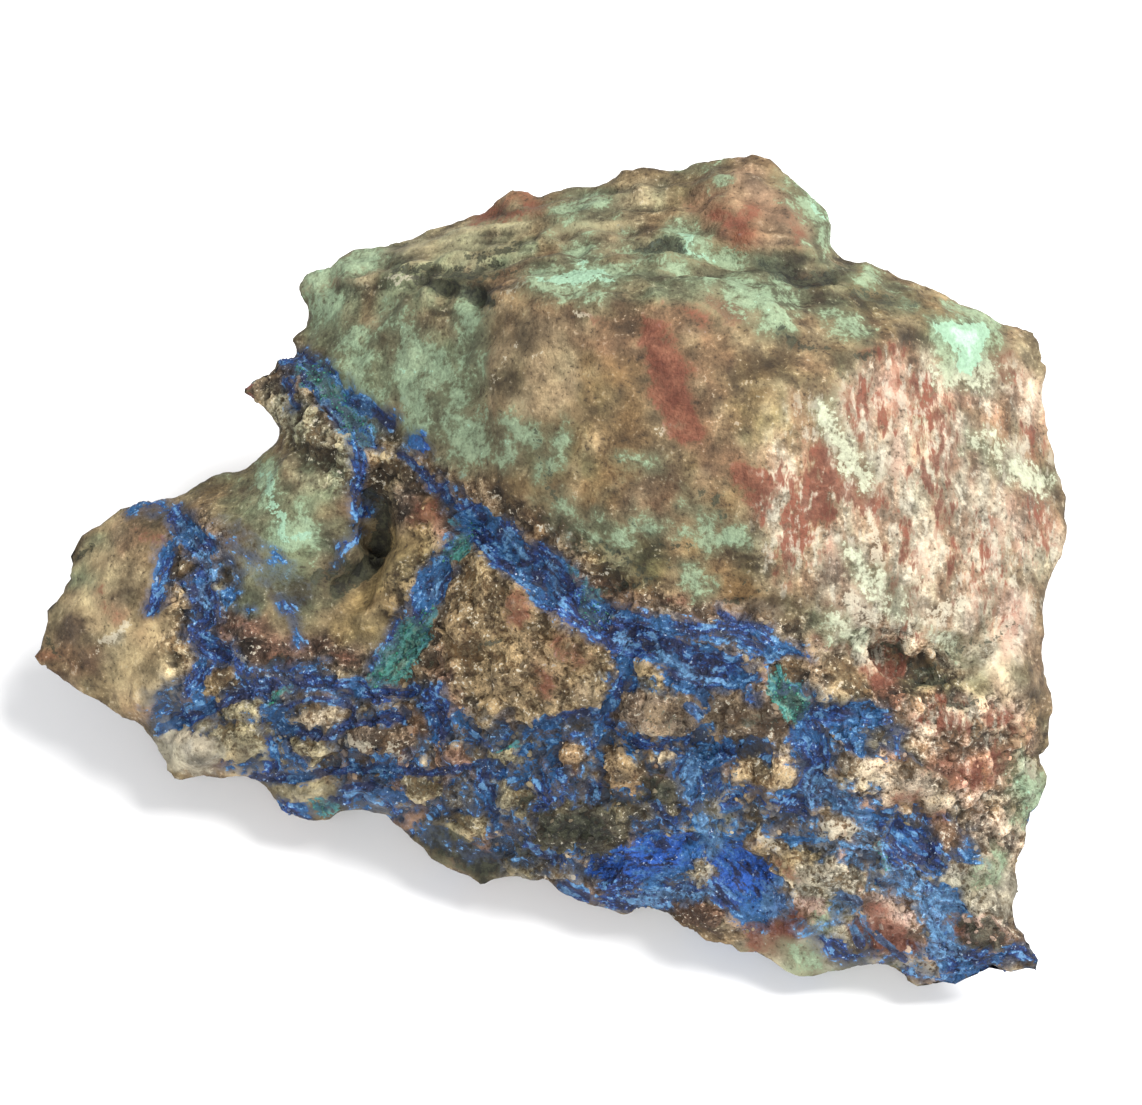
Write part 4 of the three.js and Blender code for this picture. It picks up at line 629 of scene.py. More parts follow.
def split_faces(faces, middle):
    """Triangles cut at their marked edges. middle holds the new point of each edge, or -1. One
    mark makes two triangles, two make three and three make four, so that neighbours agree."""
    count = (middle >= 0).sum(1)
    turn = np.zeros(len(faces), int)
    one, two = count == 1, count == 2
    turn[one] = np.argmax(middle[one] >= 0, 1)
    turn[two] = (np.argmin(middle[two] >= 0, 1) + 1) % 3
    order = (turn[:, None] + np.arange(3)) % 3
    v = np.take_along_axis(faces, order, 1)
    m = np.take_along_axis(middle, order, 1)
    rows = [v[count == 0]]
    a, b, c, ab = v[one, 0], v[one, 1], v[one, 2], m[one, 0]
    rows += [np.stack(t, 1) for t in ((a, ab, c), (ab, b, c))]
    a, b, c, ab, bc = v[two, 0], v[two, 1], v[two, 2], m[two, 0], m[two, 1]
    rows += [np.stack(t, 1) for t in ((ab, b, bc), (a, ab, bc), (a, bc, c))]
    all3 = count == 3
    (a, b, c), (ab, bc, ca) = v[all3].T, m[all3].T
    rows += [np.stack(t, 1) for t in ((a, ab, ca), (ab, b, bc), (ca, bc, c), (ab, bc, ca))]
    return np.concatenate(rows)


def refine(points, normals, faces, limit, roundness):
    """Cuts every edge longer than its limit, again and again. A new point is the edge's middle,
    moved part of the way to the mean of its ends' tangent planes."""
    while True:
        ends = np.sort(np.stack([faces, np.roll(faces, -1, 1)], 2).reshape(-1, 2), 1)
        keys, back = np.unique(ends[:, 0] * len(points) + ends[:, 1], return_inverse=True)
        a, b = keys // len(points), keys % len(points)
        middle = (points[a] + points[b]) / 2
        facing = unit(normals[a] + normals[b])
        long = np.linalg.norm(points[a] - points[b], axis=1) > limit(middle, facing)
        if not long.any():
            return points, normals, faces
        a, b, middle, facing = a[long], b[long], middle[long], facing[long]
        lift_a = np.sum((middle - points[a]) * normals[a], 1, keepdims=True) * normals[a]
        lift_b = np.sum((middle - points[b]) * normals[b], 1, keepdims=True) * normals[b]
        middle -= (lift_a + lift_b) / 2 * roundness(middle)[:, None]
        number = np.full(len(keys), -1)
        number[long] = len(points) + np.arange(long.sum())
        faces = split_faces(faces, number[back.reshape(-1)].reshape(-1, 3))
        points, normals = np.concatenate([points, middle]), np.concatenate([normals, facing])


def beside(uv, a, b):
    """Where face points lie beside the straight from a to b: mm along it from a, mm across it, the
    distance to its nearest place, and the half width there."""
    q, along = uv - a[:2], b[:2] - a[:2]
    length = max(math.hypot(*along), 1e-6)
    t = np.clip(q @ along / length**2, 0, 1)
    distance = np.linalg.norm(q - t[:, None] * along, axis=1)
    across = q @ np.array([-along[1], along[0]]) / length
    return q @ along / length, across, distance, a[2] + t * (b[2] - a[2])


def strength(uv, table, soft, trace=False):
    """How strongly strokes cover each face point: the stroke's fullness, plus how far inside its
    edge the point is over the softness, from -FALL to RISE, and the strongest counts. A trace
    adds where on that stroke the point is: mm along it, mm across it, and a number of its own."""
    found = np.full(len(uv), -1.0)
    track = np.stack([uv[:, 0], uv[:, 1], np.zeros(len(uv))], 1)
    for number, (full, path) in enumerate(table):
        run = 0.0
        for a, b in zip(path[:-1], path[1:]):
            reach = max(a[2], b[2]) + FALL * soft
            low, high = np.minimum(a, b)[:2] - reach, np.maximum(a, b)[:2] + reach
            near = np.flatnonzero(np.all((uv > low) & (uv < high), axis=1))
            along, across, distance, half = beside(uv[near], a, b)
            value = full + np.clip((half - distance) / soft, -FALL, RISE)
            if trace:
                better = value > found[near]
                here = np.stack([run + along, across, np.full(len(near), number)], 1)
                track[near[better]] = here[better]
            found[near] = np.maximum(found[near], value)
            run += max(math.hypot(*(b - a)[:2]), 1e-6)
    return (found, track) if trace else found


def tones(uv, fallback):
    """Each face point's rock colour: the mean of the broad strokes' colours, each weighing as a
    bell of its distance over its half width, and the fallback where no stroke is near."""
    total = np.tile(np.array(fallback, float) * FAINT, (len(uv), 1))
    weight = np.full(len(uv), FAINT)
    for colour, paths in TONES:
        for path in paths:
            best = np.zeros(len(uv))
            for a, b in zip(path[:-1], path[1:]):
                distance, half = beside(uv, a, b)[2:]
                best = np.maximum(best, np.exp(-1.6 * (distance / half) ** 2))
            total += best[:, None] ** 2 * np.array(colour)
            weight += best**2
    return total / weight[:, None]


def laid(rock, colour, share):
    """The rock's colour turned into another by a share from 0 to 1."""
    return rock + (np.asarray(colour, float) - rock) * share


def linear(colour):
    """Screen colour from 0 to 255 to the light it stands for, by the sRGB curve."""
    c = np.asarray(colour, float) / 255
    return np.where(c <= 0.04045, c / 12.92, ((c + 0.055) / 1.055) ** 2.4)


def pigment(colour):
    """The share of light that a surface of that screen colour sends back."""
    return linear(colour) * ALBEDO


def veined(p, size, width, seed):
    """Veins out of sight: strong where smooth noise crosses nought, within a band of that width."""
    return 1 - np.abs(noise(p, size, seed, 3)) / width


def seen(p, n):
    """1 where the surface faces the eye, fading to 0 where it has turned 14 degrees away."""
    eye = unit(CENTRE + TOWARDS_EYE * SIGHT - p)
    return step(-0.24, 0.0, np.sum(eye * n, 1))


def minerals(p, n):
    """Each field at each point. The face follows the strokes, bent by up to about a millimetre
    of noise, and the hidden sides follow veins and patches of noise. On top come islands of
    azurite, beds, blotches, chips with cracks between them, and the rock's own colour."""
    wobble, ragged = noises(p, 1.7, 31, 47), noises(p, 0.8, 33, 49)
    uv = face_of(p)
    bent = uv + 1.2 * wobble
    front = seen(p, n)
    low = step(26, 12, p[:, 2] + 0.25 * p[:, 1])
    hidden = {
        "azurite": veined(p, 17, 0.10, 201) * 0.9 * low - 0.25 * (1 - low),
        "malachite": veined(p, 21, 0.05, 211) * 1.1 - 0.6,
        "mint": 0.9 * noise(p, 13, 221, 3) - 0.18,
        "rust": 0.9 * noise(p, 15, 231, 3) + 0.18,
        "dark": veined(p, 11, 0.06, 241) * 0.8 - 0.1,
        "pale_and_glint": veined(p, 23, 0.03, 251) * 0.6 - 0.2,
    }
    shown = {
        "azurite": (AZURITE, 0.9, 0.5), "malachite": (MALACHITE, 0.9, 0.5), "mint": (MINT, 2.0, 0.8),
        "rust": (RUST, 1.9, 0.6), "dark": (DARK_AND_SHADOW, 0.8, 0.3), "pale_and_glint": (PALE_AND_GLINT, 0.7, 0.3),
    }
    ground = {
        "rough": (ROUGH, 2.0), "striae": (STRIAE, 2.5), "calm": (CALM, 2.5), "sky": (SKY, 1.2),
        "layers": (LAYERS, 2.5),
    }
    made = {"vein": strength(uv + 0.3 * wobble, AZURITE + MALACHITE, 0.9, trace=True)[1]}
    for name, (paths, soft, bend) in shown.items():
        here = strength(uv + bend * wobble + 0.35 * ragged, paths, soft)
        made[name] = here * front + hidden[name] * (1 - front)
    for name, (paths, soft) in ground.items():
        made[name] = np.clip(strength(bent, paths, soft), 0, 1) * front
    lenses = [(full, path) for full, path in AZURITE if full > 1]
    threads = [(full, path) for full, path in AZURITE if path[:, 2].max() <= THREAD]
    made["lens"] = np.clip(strength(uv, lenses, 0.9), 0, 1) * front
    made["line"] = strength(uv + 0.25 * wobble + 0.15 * ragged, threads, 0.35) * front - 2 * (1 - front)
    islands = 0.75 * noise(p, 2.0, 35, 3) - 0.14
    made["azurite"] += islands * front * (1 - 0.6 * made["lens"])
    made["rough"] += 0.55 * (1 - front)
    beds = np.stack([p[:, 0] / 5.0, (p @ UP_FACE) / 0.75, p[:, 2] * 0.1], 1)
    made["bedding"] = 0.35 * noise(beds, 1.0, 91, 3) * made["layers"]
    made["blotch"] = 0.42 * noise(p, 2.6, 95, 4)
    shaken = p + 0.45 * noises(p, 1.3, 5, 55, 105)
    gap, made["chip"] = chips(shaken, CHIP, 11)
    small_gap, made["small chip"] = chips(shaken, SMALL_CHIP, 23)
    made["crack"], made["small crack"] = 1 - step(0, 0.2, gap), 1 - step(0, 0.22, small_gap)
    broad = noises(p, 4.5, 61, 71, octaves=3)
    back = np.where(noise(p, 9, 81, 3)[:, None] > 0.05, BACK_WARM, BACK_OLIVE)
    rock = tones(uv + 1.5 * broad, ROCK_TONE) * front[:, None] + back * (1 - front[:, None])
    rock = mottled(rock, p, made)
    jagged = noises(p, 2.4, 411, 421, octaves=3)
    stepped = 1.1 * np.stack([made["chip"] - 0.5, made["small chip"] - 0.5], 1)
    made["tone"] = brecciated(rock, p, uv + 0.8 * jagged + stepped, front, made)
    return made


def brecciated(rock, p, uv, front, made):
    """Rock fragments set close together. Small ones fill the matrix: flat cells round scattered
    points, wider than high, each with a colour of its own. Larger ones lie over them as strokes.
    Seams between them are dark and sunk, and azurite fills part of them."""
    matrix = np.clip(strength(uv, MATRIX, 2.0), 0, 1) * front
    flat = np.stack([uv[:, 0] / 1.35, uv[:, 1], uv[:, 0] * 0], 1)
    gap, number = chips(flat, FRAGMENT, 401)
    seam = 1 - gap / 0.22
    kinds = np.array(FRAGMENTS, float)[(number * len(FRAGMENTS)).astype(int) % len(FRAGMENTS)]
    kinds = kinds * (np.mean(rock, 1, keepdims=True) / MID_TONE) ** 0.8
    rock = laid(rock, kinds * FRESH, (0.8 * matrix)[:, None])
    rock = laid(rock, SEAM_GREY, (0.6 * matrix * np.clip(seam, 0, 1))[:, None])
    clast = np.full(len(p), -1.0)
    for colour, paths in CLASTS:
        here = strength(uv, [(0.5, path) for path in paths], 1.2)
        share = (step(0.38, 0.6, here) * front)[:, None] * 0.78
        rock = laid(rock, np.array(colour, float) * FRESH, share)
        clast = np.maximum(clast, here)
    inside = step(0.4, 0.6, clast)
    rim = 0.9 - np.abs(clast - 0.42) / 0.22
    seam = np.maximum(seam * (1 - inside), rim) * matrix - (1 - matrix)
    patches = noise(p, 6.0, 381, 2)
    filled = 0.55 * seam + 0.5 * patches + 0.02 - 0.8 * (1 - matrix) - inside
    made["azurite"] = np.maximum(made["azurite"], filled)
    made["azurite"] -= 0.7 * step(0.5, 0.8, clast) * front
    made["dark"] = np.maximum(made["dark"], 0.8 * seam - 0.1 + 0.25 * noise(p, 2.0, 391, 2))
    made["clast"] = np.maximum(np.clip(clast, 0, 1), matrix * np.clip(gap * 1.6, 0, 0.8)) * front
    shade = np.clip(1 + 0.42 * noise(p, 1.5, 361, 3), 0.5, 1.5)[:, None]
    return rock * (1 + (shade - 1) * np.maximum(matrix, inside * front)[:, None])


def mottled(rock, p, made):
    """The rock's colour with soft blotches of 2 to 5 mm, each by its own noise. On the slip face
    they are drawn out upright. Each chip of broken rock is a little lighter or darker as painted
    facet light and shade, its cracks darker as painted shade, and plain rock loses a little blue."""
    striae = made["striae"][:, None]
    calm = (1 - 0.4 * made["calm"] - 0.35 * made["rough"])[:, None]
    uv = face_of(p)
    drawn = np.stack([uv[:, 0] / 0.7, uv[:, 1] / 2.0, p[:, 2] * 0.2], 1)
    for table, place, share in ((BLOTCHES, p, (1 - striae) * calm), (SLIP_BLOTCHES, drawn, striae)):
        for colour, size, seed, most in table:
            here = step(-0.08, 0.5, noise(place, size, seed, 3))[:, None] * most * share
            rock = laid(rock, colour, here)
    light = 1 + 0.2 * noise(p, 1.2, 351, 2) * calm[:, 0] + 0.27 * noise(p, 3.6, 352, 4)
    # painted light and shade of the chips' facets, and painted shade in their cracks
    painted_chip_shade = 0.7 * (made["chip"] - 0.5) + 0.34 * (made["small chip"] - 0.5) - 0.3 * made["crack"]
    light = np.clip(light + made["rough"] * painted_chip_shade, 0.5, 1.45)[:, None]
    plain = (1 - striae) * (1 - made["rough"][:, None])
    return rock * light * (1 - plain * LESS_BLUE)


def relief(p, made):
    """How far each point moves out, in mm. Broken rock has chips of two sizes set at different
    heights with cracks between. Smooth faces only ripple. The slip face has fine upright furrows.
    Veins are fibrous and a little sunk, pits are sunk, fragments and mint film stand up. All of
    it fades out at the resting facet."""
    rough, striae = made["rough"], made["striae"]
    broken = CHIP_STEP * (made["chip"] - 0.5) - CHIP_CRACK * made["crack"] + SWELL * noise(p, 2.7, 3, 3)
    broken += SMALL_STEP * (made["small chip"] - 0.5) - SMALL_CRACK * made["small crack"]
    smooth = RIPPLE * noise(p, 3.1, 7, 3) + 0.09 * noise(p, 0.8, 9, 2)
    smooth = smooth * (1 - 0.4 * made["calm"]) + 0.9 * made["bedding"]
    uv = face_of(p)
    furrows = np.stack([uv[:, 0] / 0.5, uv[:, 1] / 4.0, p[:, 2] * 0], 1)
    slip = FURROW * noise(furrows, 1.0, 13, 2)
    azurite = step(0.3, 0.7, made["azurite"])
    track = made["vein"]
    fibres = np.stack([track[:, 0] / 2.2, track[:, 1] / 0.5, track[:, 2] * 3.1], 1)
    blue = FIBRE * noise(fibres, 1.0, 15, 2) - 0.12
    film = FILM_RISE * step(0.3, 0.6, made["mint"] + 0.5 * noise(p, 1.3, 17, 2))
    dark = -PIT_DEPTH * step(0.3, 0.8, made["dark"])
    out = rough * broken + (1 - rough) * smooth + striae * slip + CLAST_RISE * (made["clast"] - 0.3)
    out = out * (1 - 0.5 * azurite) + azurite * blue + film * (1 - azurite) + dark
    return (out - 0.08) * step(0.02, BASE_FADE, p[:, 2])


def mesh_of(name, points, faces, smooth=True):
    """A new mesh object from points in mm and triangles."""
    mesh = bpy.data.meshes.new(name)
    mesh.vertices.add(len(points))
    mesh.vertices.foreach_set("co", (points * MM).astype(np.float32).ravel())
    mesh.loops.add(faces.size)
    mesh.loops.foreach_set("vertex_index", faces.astype(np.int32).ravel())
    mesh.polygons.add(len(faces))
    mesh.polygons.foreach_set("loop_start", np.arange(0, faces.size, 3, dtype=np.int32))
    mesh.polygons.foreach_set("use_smooth", np.full(len(faces), smooth))
    mesh.update(calc_edges=True)
    mesh.validate()
    obj = bpy.data.objects.new(name, mesh)
    bpy.context.scene.collection.objects.link(obj)
    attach(obj, BODY)
    return obj


def give(mesh, name, values):
    """Stores one number, one colour or one place at each point of a mesh."""
    if name == "vein":
        made = mesh.attributes.new(name, "FLOAT_VECTOR", "POINT")
        made.data.foreach_set("vector", values.astype(np.float32).ravel())
    elif values.ndim == 1:
        mesh.attributes.new(name, "FLOAT", "POINT").data.foreach_set("value", values.astype(np.float32))
    else:
        rgba = np.concatenate([values, np.ones((len(values), 1))], 1).astype(np.float32)
        mesh.attributes.new(name, "FLOAT_COLOR", "POINT").data.foreach_set("color", rgba.ravel())


def make_skin():
    """The fine skin: the CAD surface cut finer, displaced, with the minerals' strengths on it."""
    points, faces = cad_surface(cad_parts[NODE])
    normals = normals_of(points, faces)

    def limit(middle, facing):
        """The longest an edge may be, mm: least on veins, more on the face, most out of sight."""
        front = seen(middle, facing)
        vein = strength(face_of(middle), AZURITE + MALACHITE, 0.6) > -0.3
        return EDGE_HIDDEN + (np.where(vein, EDGE_VEIN, EDGE_FACE) - EDGE_HIDDEN) * front

    def roundness(middle):
        """How closely new points follow the tangent planes: 0.8, and 0.3 on broken rock."""
        return 0.8 - 0.5 * np.clip(strength(face_of(middle), ROUGH, 2.0), 0, 1)

    low = LOW * [1, 1, 0]
    points, normals, faces = refine(points, normals, faces, limit, roundness)
    points = np.clip(points, low, HIGH)
    normals = normals_of(points, faces)
    made = minerals(points, normals)
    resting = points[:, 2] < RESTING
    height = relief(points, made)
    # painted shade: darker where the relief lies low, lighter where it stands up
    made["hollow"] = np.clip(-height / HOLLOW_SHADE_DEPTH, -1, 1)
    moved = points + normals * height[:, None]
    moved = np.clip(moved, low, HIGH)
    moved[resting, 2] = 0
    skin = mesh_of("ore_skin", moved, faces)
    for name in FIELDS:
        give(skin.data, name, pigment(made[name]) if name == "tone" else made[name])
    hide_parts(NODE)
    return skin, moved, normals_of(moved, faces), faces, made


# ---------------------------------------------------------------- small pieces on the skin


def turned(count, rng, towards, stray):
    """A frame for each piece: its long axis near the given direction, turned at random."""
    axis = unit(towards + rng.normal(0, stray, (count, 3)))
    side = unit(np.cross(axis, rng.normal(0, 1, (count, 3))))
    return np.stack([side, np.cross(axis, side), axis], 1)


def scattered(name, shape, faces, seats, frames, sizes, squash, rng):
    """Many copies of one small closed shape in one mesh: each is scaled, turned to its own
    frame and moved to its seat, and every point is jogged a little so that no two match. Copies
    that reach out of the room inside the CAD box are left out. Also gives which ones fit."""
    count = len(seats)
    local = shape[None] * sizes[:, None, None] * squash[:, None, :]
    local *= 1 + rng.uniform(-0.3, 0.26, (count, len(shape), 1))
    world = np.einsum("npk,nkj->npj", local, frames) + seats[:, None]
    fits = np.all((world > LOW) & (world < HIGH), axis=(1, 2))
    world = world[fits]
    index = faces[None] + (np.arange(len(world)) * len(shape))[:, None, None]
    return mesh_of(name, world.reshape(-1, 3), index.reshape(-1, 3), smooth=False), fits


def prism():
    """A six-sided crystal, one wide: two rings of six points and a raised middle at each end."""
    turn = np.arange(6) * math.pi / 3
    ring = np.stack([np.cos(turn), np.sin(turn), turn * 0], 1)
    ends = [[0, 0, -0.62], [0, 0, 0.62]]
    points = np.concatenate([ring * 0.5 - [0, 0, 0.42], ring * [0.5, 0.5, 1] + [0, 0, 0.3], ends])
    k = np.arange(6)
    j = (k + 1) % 6
    faces = np.concatenate([
        np.stack([k, j, k + 6], 1), np.stack([j, j + 6, k + 6], 1),
        np.stack([j, k, k * 0 + 12], 1), np.stack([k + 6, j + 6, k * 0 + 13], 1),
    ])
    return points, faces


def pebble():
    """A grain: the twelve corners and twenty sides of an icosahedron of diameter one."""
    g = (1 + 5**0.5) / 2
    points = np.array([(-1, g, 0), (1, g, 0), (-1, -g, 0), (1, -g, 0), (0, -1, g), (0, 1, g),
                       (0, -1, -g), (0, 1, -g), (g, 0, -1), (g, 0, 1), (-g, 0, -1), (-g, 0, 1)])
    faces = np.array([(0, 11, 5), (0, 5, 1), (0, 1, 7), (0, 7, 10), (0, 10, 11), (1, 5, 9),
                      (5, 11, 4), (11, 10, 2), (10, 7, 6), (7, 1, 8), (3, 9, 4), (3, 4, 2),
                      (3, 2, 6), (3, 6, 8), (3, 8, 9), (4, 9, 5), (2, 4, 11), (6, 2, 10),
                      (8, 6, 7), (9, 8, 1)])
    return points / np.linalg.norm(points[0]) * 0.5, faces


def pick(weight, count, rng):
    """Points drawn without repeats, each as likely as its weight."""
    return rng.choice(len(weight), min(count, int((weight > 0).sum())), replace=False,
                      p=weight / weight.sum())


def make_grains(points, normals, faces, made):
    """Crystals, beads, quartz and crumbs, each partly sunk. A point's chance to bear one is the
    strength of its mineral times the area round the point."""
    area = np.zeros(len(points))
    a, b, c = (points[faces[:, k]] for k in range(3))
    size = np.linalg.norm(np.cross(b - a, c - a), axis=1) / 6
    for k in range(3):
        area += np.bincount(faces[:, k], size, len(points))
    area *= step(1.0, 2.0, points[:, 2])
    blue, green = step(0.5, 0.85, made["azurite"]), step(0.45, 0.8, made["malachite"])
    bare = (1 - step(0.25, 0.6, made["azurite"])) * (1 - green)
    rough = made["rough"]
    # name, shape, where, how many, smallest and largest in mm, how wide and how flat they are
    # for their size, how deep they sit for their size, and how far they stray from upright
    kinds = [
        ("azurite_crystals", prism(), blue, 1500, (0.14, 0.44), (0.9, 0.8), 0.12, 0.7),
        ("malachite_beads", pebble(), green, 500, (0.2, 0.42), (0.9, 0.6), 0.1, 0.4),
        ("quartz_grains", pebble(), bare * rough, 420, (0.1, 0.26), (0.9, 0.6), 0.02, 0.5),
        ("rock_crumbs", pebble(), bare * rough**2, 1500, (0.3, 0.95), (0.8, 0.4), 0.1, 0.35),
    ]
    objects = []
    for seed, (name, (shape, sides), weight, count, span, flat, sink, stray) in enumerate(kinds):
        rng = np.random.default_rng(900 + seed)
        at = pick(weight * area, count, rng)
        sizes = span[0] + (span[1] - span[0]) * rng.random(len(at)) ** 2.2
        squash = np.stack([np.ones(len(at)), rng.uniform(flat[0] * 0.75, 1, len(at)),
                           rng.uniform(flat[1] * 0.7, flat[1] * 1.3, len(at))], 1)
        seats = points[at] - normals[at] * (sink * sizes)[:, None]
        frames = turned(len(at), rng, normals[at], stray)
        obj, fits = scattered(name, shape, sides, seats, frames, sizes, squash, rng)
        give(obj.data, "shade", np.repeat(rng.random(len(at))[fits], len(shape)))
        give(obj.data, "tone", pigment(made["tone"][np.repeat(at[fits], len(shape))]))
        objects.append(obj)
    return objects


# ---------------------------------------------------------------- materials


class Value:
    """One number or vector inside a material, with Python's own arithmetic."""

    def __init__(self, tree, socket):
        self.tree, self.socket = tree, socket

    def maths(self, kind, *others):
        """One step of arithmetic on this and the others, in their order."""
        made = self.tree.nodes.new("ShaderNodeMath")
        made.operation = kind
        for slot, value in zip(made.inputs, (self, *others)):
            plug(self.tree, slot, value)
        return Value(self.tree, made.outputs[0])

    def __add__(self, other):
        return self.maths("ADD", other)

    def __sub__(self, other):
        return self.maths("SUBTRACT", other)

    def __mul__(self, other):
        return self.maths("MULTIPLY", other)

    def __rsub__(self, other):
        return (self * -1.0) + other

    __radd__ = __add__
    __rmul__ = __mul__

    def most(self, other):
        """The greater of the two."""
        return self.maths("MAXIMUM", other)

    def over(self, low, high):
        """0 below low, 1 above high and the smooth cubic between."""
        return node(self.tree, "ShaderNodeMapRange", {"interpolation_type": "SMOOTHSTEP"},
                    Value=self, **{"From Min": low, "From Max": high})


def plug(tree, slot, value):
    """Links a Value into a socket, or sets the socket's own value."""
    if isinstance(value, Value):
        tree.links.new(value.socket, slot)
    else:
        slot.default_value = value


def node(tree, kind, settings=None, out=0, **inputs):
    """Any other node: its settings first, then its sockets by name; gives one output."""
    made = tree.nodes.new(kind)
    for name, value in (settings or {}).items():
        setattr(made, name, value)
    for name, value in inputs.items():
        plug(tree, made.inputs[name], value)
    return Value(tree, made.outputs[out])


def mixed(share, a, b):
    """Colour a turned into colour b by that share."""
    tree = next(x.tree for x in (share, a, b) if isinstance(x, Value))
    made = tree.nodes.new("ShaderNodeMix")
    made.data_type = "RGBA"
    plug(tree, made.inputs[0], share)
    for slot, value in ((6, a), (7, b)):
        plug(tree, made.inputs[slot], value if isinstance(value, Value) else rgb(value))
    return Value(tree, made.outputs[2])


def rgb(colour):
    """A screen colour from 0 to 255 as a socket's four numbers."""
    return (*[float(x) for x in pigment(colour)], 1.0)


def vector(kind, a, b):
    """One step of vector arithmetic. The second value goes to the socket that the step reads."""
    made = a.tree.nodes.new("ShaderNodeVectorMath")
    made.operation = kind
    plug(a.tree, made.inputs[0], a)
    plug(a.tree, made.inputs["Scale"] if kind == "SCALE" else made.inputs[1], b)
    return Value(a.tree, made.outputs["Value" if kind == "DOT_PRODUCT" else "Vector"])


def scaled(value, amount):
    """A colour or a place times a number."""
    return vector("SCALE", value, amount)


def speckle(where, size, detail=2.0, rough=0.55):
    """Smooth noise from 0 to 1 in cells of that size, mm."""
    return node(where.tree, "ShaderNodeTexNoise", Vector=where, Scale=1 / size, Detail=detail,
                Roughness=rough)


def field(tree, name, out="Fac"):
    """What is stored at the mesh's points under that name: a number, a Color or a Vector."""
    return node(tree, "ShaderNodeAttribute", {"attribute_name": name}, out)


def fresh(name):
    """An empty material: its node tree, its surface shader and the place in mm."""
    material = bpy.data.materials.new(name)
    material.use_nodes = True
    tree = material.node_tree
    where = scaled(node(tree, "ShaderNodeTexCoord", None, "Object"), 1 / MM)
    return material, tree, tree.nodes["Principled BSDF"], where


